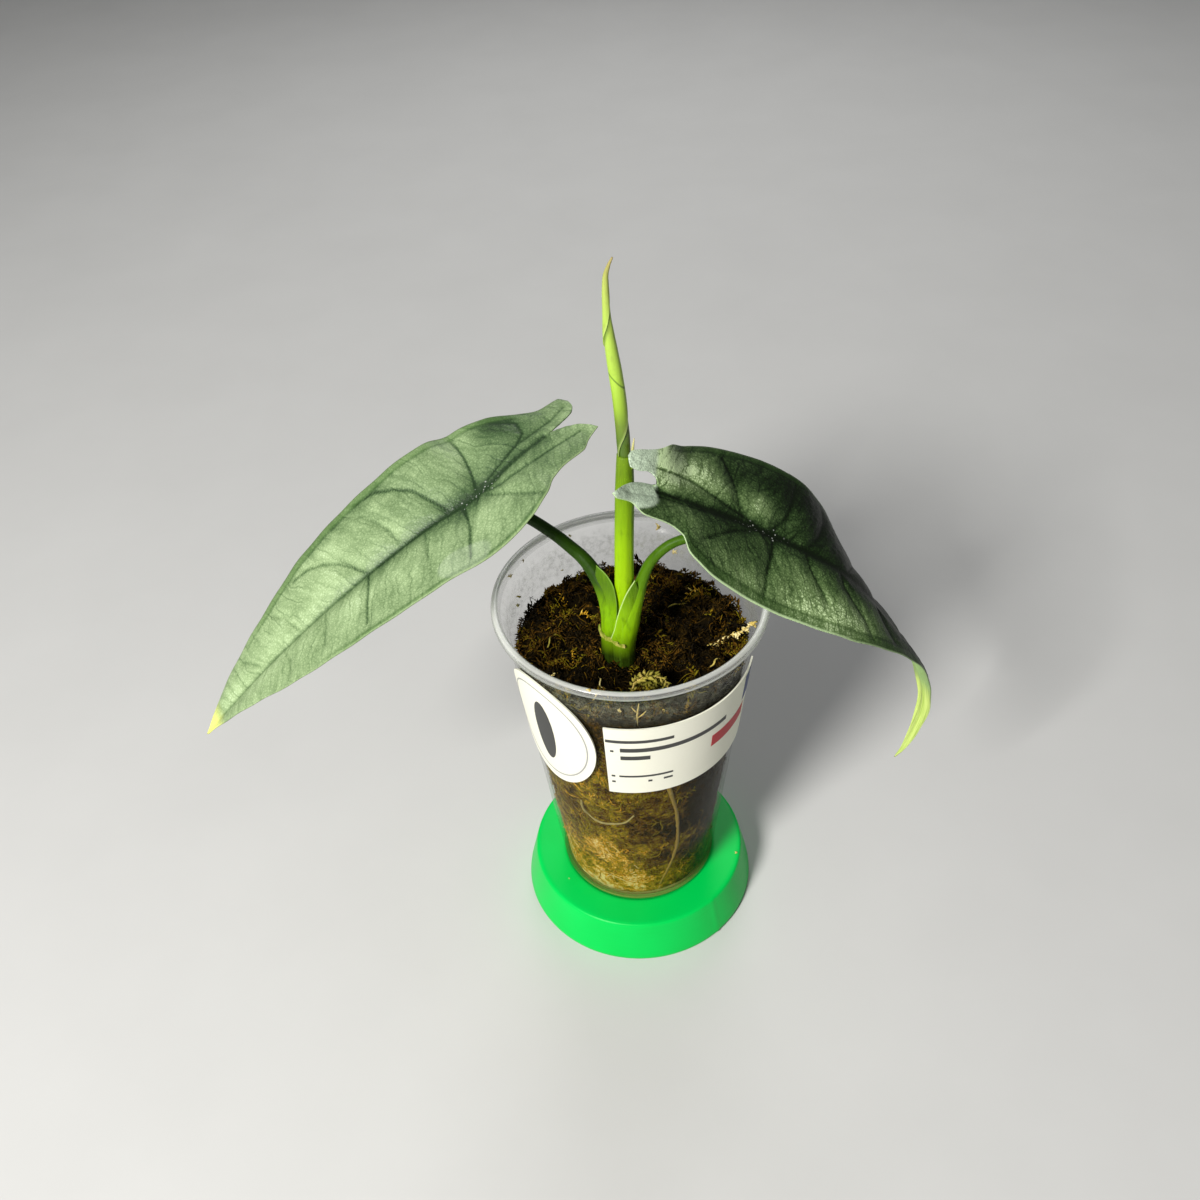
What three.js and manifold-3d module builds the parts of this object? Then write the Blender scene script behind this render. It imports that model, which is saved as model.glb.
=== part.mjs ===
// A potted alocasia with silver-green arrow leaves, in a clear plastic cup on a green stand.
// Millimetres, +Z up. The origin is the centre of the stand's underside. The plant is seen
// from -Y, so "near" is the -Y side of a leaf and "far" is its +Y side.
import * as THREE from 'three';
import Module from 'manifold-3d';

const wasm = await Module();
wasm.setup();

// Clearance between pieces that touch.
const GAP = 0.3;

// Stand: a short tapered disc with a shallow round seat.
const STAND = { height: 18, topRadius: 41.5, footRadius: 45.5, bevel: 1.4, seatRadius: 30.6, seatDepth: 1 };

// Cup: a tapered clear beaker with a rolled lip and a stacking step under it.
const CUP = {
  floorZ: STAND.height - STAND.seatDepth + GAP, rimZ: 152, rimRadius: 47.5,
  heelRadius: 29.8, shoulderRadius: 43.3, shoulderZ: 144.5, collarRadius: 45.1,
  wall: 1, lipWidth: 2.6, lipHeight: 3.2, pushUp: 1.8,
};

// Moss: fills the cup to just under the rim.
const MOSS = { topZ: 134, footZ: 21.2, relief: 2.6, dents: 0.9, segments: 44, wallRows: 6, topRings: 8 };

// Loose strands that arch out of the moss, clear of the stalks, and one bold curled strand.
const STRANDS = {
  count: 20, radius: 0.62, sunk: 1.4, from: 12, spread: 24, shortest: 7, longer: 7, rise: 5, higher: 4,
  clearOfStem: 11, edge: 36,
};
const CURLED_STRAND = { from: [-1.4, -31], to: [11, -31], rise: 17, radius: 1.1 };

// Short stem inside the moss, and the round hole it and the leaf stalks stand in.
const STEM = { x: -4.4, y: -11.4, radius: 6.1, footZ: 97, topZ: 114, holeRadius: 6.7 };

// Upright stalk in the middle, its cleft mouth and the furled leaf that rises out of it.
const STALK = [
  [-4.3, -11, 114.3, 2.9], [-4.5, -11, 134, 3], [-3.4, -11, 150, 3.1], [-2.2, -11, 165, 3.1],
  [-1.6, -11, 184, 3.05], [-1, -11, 200, 3], [-0.6, -11, 211, 2.75], [-0.4, -11, 217.5, 2.45],
];
const FURLED_LEAF = [
  [-0.7, -11, 207, 1.2], [-0.6, -11, 212, 1.6], [-0.5, -11, 218, 1.9], [-0.6, -11, 224.4, 2.05],
  [-1, -11, 231, 2], [-1.5, -11, 238, 1.95], [-2.3, -11, 246, 1.95], [-3.1, -11, 253, 1.85],
  [-3.6, -11, 258.5, 1.6], [-3.9, -11, 264, 1.2], [-4, -11, 270.5, 1], [-3.9, -11, 275, 0.8],
  [-3, -11, 278.5, 0.5], [-1.8, -11, 281, 0.25],
];
const FURL = { overlap: 0.2, startTurn: 0.62, turns: 0.75 };
const STALK_TIP = [[1.5, -12.3, 213.5, 0.7], [1.9, -12.3, 219.5, 0.5], [2.5, -12.2, 224, 0.15]];

// Leaf stalks: x, y, z, half width along the bend and half width across it. The lower
// sections are the sheaths that wrap each other round the upright stalk.
const LEFT_PETIOLE = [
  [-6.7, -11, 114.3, 3.9, 4.3], [-6.8, -10.8, 128, 3.9, 4.5], [-6.8, -10.4, 140, 3.85, 4.6],
  [-6.5, -9.8, 150, 3.75, 4.3], [-7.2, -8.3, 156.5, 3.4, 3.7], [-8.8, -6.6, 161.7, 3, 3.1],
  [-10.9, -4.6, 165.3, 2.6, 2.6], [-14.1, -2, 169.6, 2.3, 2.3], [-17.7, 0, 172.9, 2.15, 2.15],
  [-24, 1, 179.4, 2, 2], [-31, 1, 186, 1.9, 1.9], [-38.5, 0.6, 191.4, 1.8, 1.8], [-46.2, 0.2, 197, 1.7, 1.7],
];
const RIGHT_PETIOLE = [
  [-3.6, -12, 114.3, 3.9, 3.8], [-3.5, -12.2, 128, 4.1, 4.3], [-3.3, -12.5, 140, 4.2, 4.5],
  [-2.1, -12.7, 150, 4.4, 4.4], [-0.2, -12.2, 157.5, 3.7, 3.8], [2.1, -11.5, 163.5, 2.7, 2.9],
  [4, -11, 168.5, 2, 2.1], [6.2, -10.6, 174, 1.75, 1.8], [9.3, -10.4, 178.2, 1.65, 1.7],
  [13.8, -10.1, 181.7, 1.6, 1.6], [19, -10, 183.5, 1.55, 1.6], [26, -10, 184.7, 1.55, 1.6],
  [34, -10, 185, 1.6, 1.6], [41.2, -10, 184.6, 1.6, 1.6],
];

// Free edges of the sheaths: rows of edge point and attached point, ending in a pointed wing.
const LEFT_SHEATH = [
  [-5.2, -14, 152, -8, -11, 149], [-4.8, -14.6, 160, -9, -9.5, 155], [-5.4, -13.2, 166.4, -9.6, -8.2, 160],
  [-7.6, -10.4, 170.2, -10.2, -7.4, 164], [-10.8, -7.6, 172.3, -11.3, -7, 168.2],
];
const RIGHT_SHEATH = [
  [-7.3, -15.2, 146.6, -4, -15.6, 142], [-6, -16, 151.5, -2.5, -16, 147],
  [-4.9, -16.2, 157, -1.2, -15.8, 151], [-3.6, -15.9, 161.2, 0, -15.2, 156],
  [-1.3, -15.2, 166.7, 1.6, -14, 161], [1.3, -13.4, 169.9, 2.8, -12.8, 165.2],
];
const SHEATH_THICKNESS = 0.8;

// Torn papery scar of an older leaf, a thin band round the foot of the stalks: azimuths about
// the stem, heights and how far it stands off.
const COLLAR = {
  topZ: 147.4, height: 1.3, fall: 2, from: -110, to: 14, tear: 0.35, reach: 12, thickness: 0.6,
};

// Roots pressed against the inside of the wall: azimuth from -Y towards +X, and height.
const ROOT = { radius: 1.05, inset: 0.6, taper: 0.45, sections: 24, sides: 6 };
const RIGHT_ROOT = {
  inner: [[-1.5, -18.2, 106], [5, -26, 104]],
  wall: [[16, 92], [19, 84], [23, 72], [25, 60], [25, 47], [20, 35], [14, 25]],
};
const LEFT_ROOT = {
  inner: [[-8.6, -16.6, 103], [-17, -22, 92]],
  wall: [[-38, 77], [-33, 70], [-26, 68], [-18, 69], [-10, 71], [-4, 76]],
};

// Leaves. The axis runs from behind the two back lobes through the stalk's junction to the
// tip. Flat leaf sizes are p, the length along the axis from the junction, and q, the width
// from the axis. Each half starts at its droop angle (degrees, down is positive) and curls on.
const BLADE = {
  thickness: 0.9, curl: 0.4, quilt: 0.75, veinWidth: 3.2, rib: 1.1, wave: 0.5, waveRate: 0.42, sinusReach: 12,
};
const LEFT_LEAF = {
  axis: [
    [-9, 26, 213], [-31.5, 10, 205.5], [-46.5, 0, 197.5], [-66, -8, 189], [-94, -17, 171],
    [-121, -23, 148], [-145.5, -26, 123],
  ],
  junction: [-46.5, 0, 197.5],
  farDroop: [[-50, -10], [-30, -20], [-10, -30], [20, -35], [60, -32], [128, -28]],
  nearDroop: [[-50, 8], [128, 8]],
  sinus: [-29, -0.6],
  farLobe: [[-43.2, 6.5], [-42.3, 2.8], [-39.6, 0.7], [-34, -0.1], [-29, -0.6]],
  nearLobe: [[-42, 10.9], [-38.8, 5.9], [-34.5, 2.9], [-31.5, 1.5], [-29, 0.6]],
  farMargin: [
    [-43.2, 6.5], [-41.4, 9.8], [-34.5, 10.4], [-28, 14], [-20, 20.5], [-10, 25.5], [5, 27.3],
    [30, 26.6], [60, 24], [80, 19], [100, 13], [115, 7.5], [128.4, 0],
  ],
  nearMargin: [
    [-42, 10.9], [-36.6, 12.8], [-32.7, 15], [-25, 15.4], [-19.3, 17], [-13.9, 20.8], [-6, 23.7],
    [10, 24.6], [30, 24], [45, 22.5], [60, 20.5], [80, 16], [100, 9], [115, 4], [128.4, 0],
  ],
};
const RIGHT_LEAF = {
  axis: [
    [-9, -23, 219.8], [22, -14, 198.7], [41.5, -10, 184.5], [68.5, -9, 165], [86, -9, 143],
    [98, -10, 123], [104, -10, 102], [101, -10, 81], [97, -10, 71.5],
  ],
  junction: [41.5, -10, 184.5],
  farDroop: [
    [-50, -48], [-40, -40], [-28, -22], [-10, -24], [10, -26], [25, -17], [40, -1], [55, 9], [70, 13],
    [85, 10], [138, 12],
  ],
  nearDroop: [[-30, 16], [10, 19], [40, 11], [55, 2], [70, -8], [85, -16], [100, -12], [138, 0]],
  sinus: [-42.2, 2.2],
  farLobe: [[-54, 8], [-53.6, 6.5], [-52.6, 4.9], [-49.7, 4.5], [-46.3, 5.1], [-43.2, 4.1], [-42.2, 2.2]],
  nearLobe: [[-58.1, 5], [-54.1, 1.5], [-49.1, -1.1], [-44.5, -2.1], [-42.2, -2.2]],
  farMargin: [
    [-54, 8], [-53.1, 9.7], [-45, 12.3], [-42.2, 13.4], [-36.3, 16.9], [-25.7, 21.6], [-18.6, 23.9],
    [-12.3, 24.9], [0, 27], [25, 26], [40, 24.3], [55, 20.5], [70, 15], [85, 9.2], [100, 6.5], [115, 3.7],
    [128, 2], [138.4, 0],
  ],
  nearMargin: [
    [-58.1, 5], [-56.6, 6.3], [-51.9, 6], [-46.6, 9], [-37.6, 9.9], [-32.2, 12.2], [-30.2, 17],
    [-26, 19.8], [-20, 22.5], [-10, 24.6], [10, 26], [25, 25.7], [40, 24], [55, 19.5], [70, 14.5], [85, 9.9],
    [100, 6.2], [115, 3.8], [128, 2], [138.4, 0],
  ],
};
// Main side veins on each half, as flat points from the axis out to the margin.
const VEINS = [
  [[0, 0], [-20, 5], [-40, 8]],
  [[0, 0], [-3, 12], [-6, 24]],
  [[10, 0], [15, 10], [26, 23]],
  [[26, 0], [32, 9], [45, 21]],
  [[42, 0], [48, 8], [62, 19]],
  [[60, 0], [66, 7], [79, 15]],
  [[78, 0], [84, 5], [94, 11]],
];
const BLADE_ROWS = { body: 35, lobe: 6, columns: 6 };

// Labels on the cup: azimuths in degrees from -Y towards +X, heights, thickness.
const CARD_LABEL = { from: -16, to: 74, lowZ: 94.5, highZ: 131, thickness: 0.6, columns: 18, rows: 3 };
const OVAL_LABEL = {
  azimuth: -50, z: 113.5, halfWidth: 20.5, halfHeight: 28, thickness: 0.6, columns: 8, rows: 12,
};

const rad = THREE.MathUtils.degToRad;
const vec = (p) => new THREE.Vector3(p[0], p[1], p[2]);

// Smooth curve through rows of [x, y], held level beyond the ends.
function smoothThrough(rows) {
  const steps = rows.slice(1).map((row, i) => row[0] - rows[i][0]);
  const rises = rows.slice(1).map((row, i) => (row[1] - rows[i][1]) / steps[i]);
  const slopes = rows.map((row, i) => {
    if (i === 0) return rises[0];
    if (i === rises.length) return rises[i - 1];
    const both = rises[i - 1] * rises[i];
    return both <= 0 ? 0 : (2 * both) / (rises[i - 1] + rises[i]);
  });
  return (x) => {
    if (x <= rows[0][0]) return rows[0][1];
    if (x >= rows.at(-1)[0]) return rows.at(-1)[1];
    const i = rows.findIndex((row, k) => k > 0 && x <= row[0]) - 1;
    const t = (x - rows[i][0]) / steps[i];
    const ease = t * t * (3 - 2 * t);
    const lead = t * (1 - t) * (1 - t) * steps[i];
    const trail = t * t * (t - 1) * steps[i];
    return rows[i][1] * (1 - ease) + rows[i + 1][1] * ease + slopes[i] * lead + slopes[i + 1] * trail;
  };
}

// Repeatable random numbers from 0 to 1.
function randomFrom(seed) {
  let state = seed;
  return () => {
    state = (state * 1664525 + 1013904223) % 4294967296;
    return state / 4294967296;
  };
}

// Collects triangles into one closed skin with shared corners and no slivers of no area.
class Skin {
  constructor() {
    this.points = [];
    this.faces = [];
    this.seen = new Map();
  }

  corner(v) {
    const key = `${v.x.toFixed(3)},${v.y.toFixed(3)},${v.z.toFixed(3)}`;
    if (!this.seen.has(key)) {
      this.seen.set(key, this.points.length);
      this.points.push(v.clone());
    }
    return this.seen.get(key);
  }

  face(a, b, c) {
    const corners = [this.corner(a), this.corner(b), this.corner(c)];
    if (new Set(corners).size === 3) this.faces.push(corners);
  }

  quad(a, b, c, d) {
    this.face(a, b, c);
    this.face(a, c, d);
  }

  volume() {
    return this.faces.reduce((sum, [a, b, c]) => {
      const cross = new THREE.Vector3().crossVectors(this.points[b], this.points[c]);
      return sum + this.points[a].dot(cross) / 6;
    }, 0);
  }

  solid() {
    const outward = this.volume() > 0;
    const triVerts = new Uint32Array(this.faces.flatMap(([a, b, c]) => (outward ? [a, b, c] : [a, c, b])));
    const vertProperties = new Float32Array(this.points.flatMap((v) => [v.x, v.y, v.z]));
    return new wasm.Manifold(new wasm.Mesh({ numProp: 3, vertProperties, triVerts }));
  }
}

function solidFromGeometry(geometry) {
  const skin = new Skin();
  const flat = geometry.index ? geometry.toNonIndexed() : geometry;
  const position = flat.getAttribute('position');
  for (let i = 0; i < position.count; i += 3) {
    const [a, b, c] = [0, 1, 2].map((k) => new THREE.Vector3().fromBufferAttribute(position, i + k));
    skin.face(a, b, c);
  }
  return skin.solid();
}

function geometryFromSolid(solid) {
  const mesh = solid.getMesh();
  const geometry = new THREE.BufferGeometry();
  geometry.setAttribute('position', new THREE.BufferAttribute(Float32Array.from(mesh.vertProperties), 3));
  geometry.setIndex(Array.from(mesh.triVerts));
  geometry.computeVertexNormals();
  return geometry;
}

// Revolves a profile of [radius, height] about +Z.
function lathe(profile, segments) {
  const points = profile.map(([r, z]) => new THREE.Vector2(r, z));
  return new THREE.LatheGeometry(points, segments).rotateX(Math.PI / 2);
}

// Skins a stack of rings of equal count, closed with a fan at each end.
function skinRings(rings) {
  const skin = new Skin();
  const count = rings[0].length;
  for (let i = 0; i + 1 < rings.length; i += 1) {
    for (let k = 0; k < count; k += 1) {
      const next = (k + 1) % count;
      skin.quad(rings[i][k], rings[i][next], rings[i + 1][next], rings[i + 1][k]);
    }
  }
  for (const [ring, turned] of [[rings[0], true], [rings.at(-1), false]]) {
    const middle = ring.reduce((sum, v) => sum.add(v), new THREE.Vector3()).divideScalar(count);
    for (let k = 0; k < count; k += 1) {
      const next = (k + 1) % count;
      if (turned) skin.face(middle, ring[next], ring[k]);
      else skin.face(middle, ring[k], ring[next]);
    }
  }
  return skin.solid();
}

// Rows of numbers read along a smooth curve, so that short tables give fine sections.
function resample(rows, count) {
  const tracks = rows[0].map((_, c) => smoothThrough(rows.map((row, i) => [i, row[c]])));
  return Array.from({ length: count }, (_, i) => {
    const t = (i / (count - 1)) * (rows.length - 1);
    return tracks.map((track) => track(t));
  });
}

// Frames along a route: each section's across direction stays close to +Y.
function sectionFrames(centres) {
  return centres.map((centre, i) => {
    const ahead = centres[Math.min(i + 1, centres.length - 1)];
    const behind = centres[Math.max(i - 1, 0)];
    const along = new THREE.Vector3().subVectors(ahead, behind).normalize();
    const across = new THREE.Vector3(0, 1, 0).addScaledVector(along, -along.y).normalize();
    const bend = new THREE.Vector3().crossVectors(across, along);
    return { centre, along, across, bend };
  });
}

// A stalk of oval sections: rows are x, y, z, half width in the bend, half width across it.
function stalkSolid(rows, { sections, sides, swell = 0 }) {
  const fine = resample(rows, sections);
  const frames = sectionFrames(fine.map(vec));
  const rings = frames.map(({ centre, across, bend }, i) => {
    const wide = fine[i][3] + swell;
    const deep = (fine[i][4] ?? fine[i][3]) + swell;
    return Array.from({ length: sides }, (_, k) => {
      const turn = (k / sides) * 2 * Math.PI;
      return centre.clone()
        .addScaledVector(bend, wide * Math.cos(turn))
        .addScaledVector(across, deep * Math.sin(turn));
    });
  });
  return skinRings(rings);
}

// The furled leaf: a rolled blade, so each section is a spiral with a step where it overlaps.
function furledSolid(rows, { sections, sides, swell = 0 }) {
  const fine = resample(rows, sections);
  const frames = sectionFrames(fine.map(vec));
  const rings = frames.map(({ centre, across, bend }, i) => {
    const start = (FURL.startTurn + (FURL.turns * i) / sections) * 2 * Math.PI;
    return Array.from({ length: sides + 1 }, (_, k) => {
      const turn = start + (k / sides) * 2 * Math.PI;
      const radius = (fine[i][3] + swell) * (1 - FURL.overlap / 2 + (FURL.overlap * k) / sides);
      return centre.clone()
        .addScaledVector(bend, radius * Math.cos(turn))
        .addScaledVector(across, radius * Math.sin(turn));
    });
  });
  return skinRings(rings);
}

// A sheath's thin margin, from its free edge to the line where it joins the stalk.
function sheathSolid(rows, swell = 0) {
  const thin = SHEATH_THICKNESS / 2 + swell;
  const rings = resample(rows, rows.length * 2 - 1).map(([ex, ey, ez, ax, ay, az]) => {
    const edge = new THREE.Vector3(ex, ey, ez);
    const root = new THREE.Vector3(ax, ay, az);
    const inward = new THREE.Vector3().subVectors(root, edge).normalize();
    const face = new THREE.Vector3(0, -1, 0).addScaledVector(inward, inward.y).normalize();
    edge.addScaledVector(inward, -swell);
    return [
      edge.clone().addScaledVector(face, thin * 0.7), edge.clone().addScaledVector(face, -thin * 0.7),
      root.clone().addScaledVector(face, -thin * 1.6), root.clone().addScaledVector(face, thin * 1.6),
    ];
  });
  return skinRings(rings);
}

function unite(solids) {
  return solids.reduce((whole, solid) => whole.add(solid));
}

function largestPiece(solid) {
  return solid.decompose().reduce((best, piece) => (piece.volume() > best.volume() ? piece : best));
}

// What is left of a solid after its cuts, without loose scraps.
function cutBy(tools, solid) {
  return largestPiece(tools.reduce((left, tool) => left.subtract(tool), solid));
}

function makeStand() {
  const { height, topRadius, footRadius, bevel, seatRadius, seatDepth } = STAND;
  return lathe([
    [0, 0], [footRadius - bevel, 0], [footRadius, bevel], [topRadius + 0.3, height - 0.6],
    [topRadius - 0.4, height], [seatRadius + seatDepth * 0.4, height],
    [seatRadius, height - seatDepth], [0, height - seatDepth],
  ], 48);
}

// Inner radius of the cup's wall at a height.
function cupInnerRadius(z) {
  const t = (z - CUP.floorZ) / (CUP.shoulderZ - CUP.floorZ);
  return CUP.heelRadius + (CUP.shoulderRadius - CUP.heelRadius) * t - CUP.wall;
}

function makeCup() {
  const { floorZ, rimZ, rimRadius, heelRadius, shoulderRadius, shoulderZ, collarRadius } = CUP;
  const { wall, lipWidth, lipHeight, pushUp } = CUP;
  const foot = heelRadius - 3.4;
  return lathe([
    [0, floorZ + pushUp], [foot - 2.4, floorZ + pushUp], [foot, floorZ], [heelRadius - 1.6, floorZ],
    [heelRadius - 0.4, floorZ + 0.7], [heelRadius + 0.25, floorZ + 2.4],
    [shoulderRadius, shoulderZ], [collarRadius, shoulderZ + 1.4], [collarRadius + 0.2, rimZ - lipHeight],
    [rimRadius - 0.5, rimZ - lipHeight + 0.1], [rimRadius, rimZ - lipHeight / 2],
    [rimRadius - 0.5, rimZ - 0.3], [rimRadius - lipWidth / 2, rimZ], [rimRadius - lipWidth, rimZ - 0.5],
    [collarRadius - wall + 0.1, rimZ - lipHeight], [collarRadius - wall, shoulderZ + 2],
    [shoulderRadius - wall, shoulderZ + 0.5], [heelRadius - wall + 0.35, floorZ + 3],
    [heelRadius - wall - 0.9, floorZ + wall + 0.3], [foot + 0.9, floorZ + wall],
    [foot - 1.9, floorZ + pushUp + wall], [0, floorZ + pushUp + wall],
  ], 48);
}

// Lumpy height of the moss at a place.
function mossHeight(x, y) {
  const waves = Math.sin(x * 0.21 + 1.3) * Math.cos(y * 0.17 - 0.6)
    + 0.6 * Math.sin(x * 0.47 - y * 0.36 + 2.1)
    + 0.5 * Math.cos(x * 0.33 + y * 0.58)
    + 0.35 * Math.sin(x * 0.95 + 0.4) * Math.sin(y * 0.88 + 1.9);
  return MOSS.topZ + (MOSS.relief / 2) * waves;
}

// A point on the moss's outer wall, with shallow dents between the tufts.
function mossWall(turn, z) {
  const dent = Math.sin(turn * 9 + z * 0.23) * Math.sin(turn * 5 - z * 0.31 + 1) * Math.cos(z * 0.17);
  const r = cupInnerRadius(z) - GAP - MOSS.dents * Math.max(0, dent);
  return new THREE.Vector3(r * Math.cos(turn), r * Math.sin(turn), z);
}

function mossBody() {
  const { segments, wallRows, topRings } = MOSS;
  const turns = Array.from({ length: segments }, (_, k) => (k / segments) * 2 * Math.PI);
  const rings = [];
  const footRadius = CUP.heelRadius - CUP.wall - 2.2;
  const atFoot = (t) => new THREE.Vector3(footRadius * Math.cos(t), footRadius * Math.sin(t), MOSS.footZ);
  rings.push(turns.map(atFoot));
  for (let i = 0; i < wallRows; i += 1) {
    const z = MOSS.footZ + 2.5 + ((MOSS.topZ - 8 - MOSS.footZ) * i) / (wallRows - 1);
    rings.push(turns.map((t) => mossWall(t, z)));
  }
  for (let i = 0; i < topRings; i += 1) {
    const reach = Math.sqrt(1 - i / topRings);
    rings.push(turns.map((t) => {
      const edge = (cupInnerRadius(MOSS.topZ) - GAP - 0.6) * reach;
      const x = edge * Math.cos(t);
      const y = edge * Math.sin(t);
      return new THREE.Vector3(x, y, mossHeight(x, y) - (i === 0 ? 1.2 : 0));
    }));
  }
  return skinRings(rings);
}

// One bent strand that leaves the moss at one place and dives back into it at another.
function strandSolid([x, y], [ex, ey], rise, radius) {
  const from = new THREE.Vector3(x, y, mossHeight(x, y) - STRANDS.sunk);
  const to = new THREE.Vector3(ex, ey, mossHeight(ex, ey) - STRANDS.sunk);
  const middle = new THREE.Vector3().addVectors(from, to).multiplyScalar(0.5);
  middle.z += rise;
  const route = new THREE.QuadraticBezierCurve3(from, middle, to);
  const shape = new THREE.Shape([0, 1, 2].map((k) => {
    const turn = (k / 3) * 2 * Math.PI;
    return new THREE.Vector2(radius * Math.cos(turn), radius * Math.sin(turn));
  }));
  const shaping = { steps: 4, bevelEnabled: false, extrudePath: route };
  return solidFromGeometry(new THREE.ExtrudeGeometry(shape, shaping));
}

function mossStrands() {
  const { count, radius, from, spread, shortest, longer, rise, higher, clearOfStem, edge } = STRANDS;
  const random = randomFrom(20);
  const strands = [];
  while (strands.length < count) {
    const reach = from + spread * random();
    const turn = random() * 2 * Math.PI;
    const heading = random() * 2 * Math.PI;
    const length = shortest + longer * random();
    const start = [reach * Math.cos(turn), reach * Math.sin(turn)];
    const end = [start[0] + length * Math.cos(heading), start[1] + length * Math.sin(heading)];
    const nearest = Math.min(...[start, end].map(([x, y]) => Math.hypot(x - STEM.x, y - STEM.y)));
    if (nearest > clearOfStem && Math.hypot(...end) < edge) {
      strands.push(strandSolid(start, end, rise + higher * random(), radius));
    }
  }
  return strands;
}

function rootRoute({ inner, wall }) {
  const points = inner.map(vec);
  for (const [azimuth, z] of wall) {
    const r = cupInnerRadius(z) - GAP - ROOT.radius - ROOT.inset;
    points.push(new THREE.Vector3(r * Math.sin(rad(azimuth)), -r * Math.cos(rad(azimuth)), z));
  }
  return points;
}

function rootSolid(root, swell) {
  const route = new THREE.CatmullRomCurve3(rootRoute(root), false, 'catmullrom', 0.5);
  const rows = Array.from({ length: ROOT.sections }, (_, i) => {
    const share = i / (ROOT.sections - 1);
    const at = route.getPointAt(share);
    return [at.x, at.y, at.z, ROOT.radius * (1 - ROOT.taper * share)];
  });
  return stalkSolid(rows, { sections: ROOT.sections, sides: ROOT.sides, swell });
}

function makeStem() {
  const { x, y, radius, footZ, topZ } = STEM;
  const geometry = lathe([
    [0, footZ], [radius * 0.55, footZ + 1], [radius * 0.92, footZ + 5], [radius, footZ + 9],
    [radius * 0.94, footZ + 12], [radius * 0.98, topZ - 1], [radius * 0.9, topZ], [0, topZ],
  ], 20);
  return geometry.translate(x, y, 0);
}

function stemHole() {
  const height = 60;
  const hole = new THREE.CylinderGeometry(STEM.holeRadius, STEM.radius + GAP, height, 24);
  hole.rotateX(Math.PI / 2).translate(STEM.x, STEM.y, STEM.footZ - GAP + height / 2);
  return solidFromGeometry(hole);
}

function makeMoss(roots) {
  const curled = strandSolid(CURLED_STRAND.from, CURLED_STRAND.to, CURLED_STRAND.rise, CURLED_STRAND.radius);
  const heap = unite([mossBody(), ...mossStrands(), curled]);
  const cut = [stemHole(), ...roots.map((root) => rootSolid(root, GAP))];
  return cutBy(cut, heap);
}

// A frame at p on a leaf's axis: origin, across (to the far side) and up.
function prepareLeaf(leaf) {
  const curve = new THREE.CatmullRomCurve3(leaf.axis.map(vec), false, 'catmullrom', 0.5);
  curve.arcLengthDivisions = 800;
  const length = curve.getLength();
  const junction = vec(leaf.junction);
  let atJunction = 0;
  for (let i = 1; i <= 1000; i += 1) {
    const nearer = curve.getPointAt(i / 1000).distanceTo(junction)
      < curve.getPointAt(atJunction).distanceTo(junction);
    if (nearer) atJunction = i / 1000;
  }
  const start = atJunction * length;
  const upTurn = leaf.axis.at(-1)[0] > leaf.axis[0][0] ? 1 : -1;
  return {
    ...leaf,
    tipLength: length - start,
    farDroopAt: smoothThrough(leaf.farDroop),
    nearDroopAt: smoothThrough(leaf.nearDroop),
    frameAt(p) {
      const u = THREE.MathUtils.clamp((p + start) / length, 0, 1);
      const along = curve.getTangentAt(u);
      const across = new THREE.Vector3(0, 1, 0).addScaledVector(along, -along.y).normalize();
      const up = new THREE.Vector3().crossVectors(along, across).multiplyScalar(upTurn);
      return { origin: curve.getPointAt(u), across, up };
    },
  };
}

// The point of a half blade at flat p, q and a lift off its middle surface.
function bladePoint(leaf, p, q, side, lift) {
  const { origin, across, up } = leaf.frameAt(p);
  const droop = rad(side > 0 ? leaf.farDroopAt(p) : leaf.nearDroopAt(p));
  const curl = rad(BLADE.curl);
  const angle = droop + curl * q;
  const out = (Math.sin(angle) - Math.sin(droop)) / curl;
  const fall = (Math.cos(angle) - Math.cos(droop)) / curl;
  return origin
    .addScaledVector(across, side * (out + lift * Math.sin(angle)))
    .addScaledVector(up, fall + lift * Math.cos(angle));
}

function distanceToSegment(p, q, a, b) {
  const [dx, dy] = [b[0] - a[0], b[1] - a[1]];
  const t = THREE.MathUtils.clamp(((p - a[0]) * dx + (q - a[1]) * dy) / (dx * dx + dy * dy), 0, 1);
  return Math.hypot(p - a[0] - t * dx, q - a[1] - t * dy);
}

// Quilting: the blade swells between its side veins and dips at them and at the midrib.
function quiltLift(p, q, width) {
  let nearest = q;
  for (const vein of VEINS) {
    for (let i = 0; i + 1 < vein.length; i += 1) {
      nearest = Math.min(nearest, distanceToSegment(p, q, vein[i], vein[i + 1]));
    }
  }
  const swell = 1 - Math.exp(-((nearest / BLADE.veinWidth) ** 2));
  const edge = Math.min(1, q / Math.max(width, 1));
  return BLADE.quilt * swell * (1 - edge ** 4) + BLADE.wave * edge ** 3 * Math.sin(p * BLADE.waveRate);
}

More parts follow.
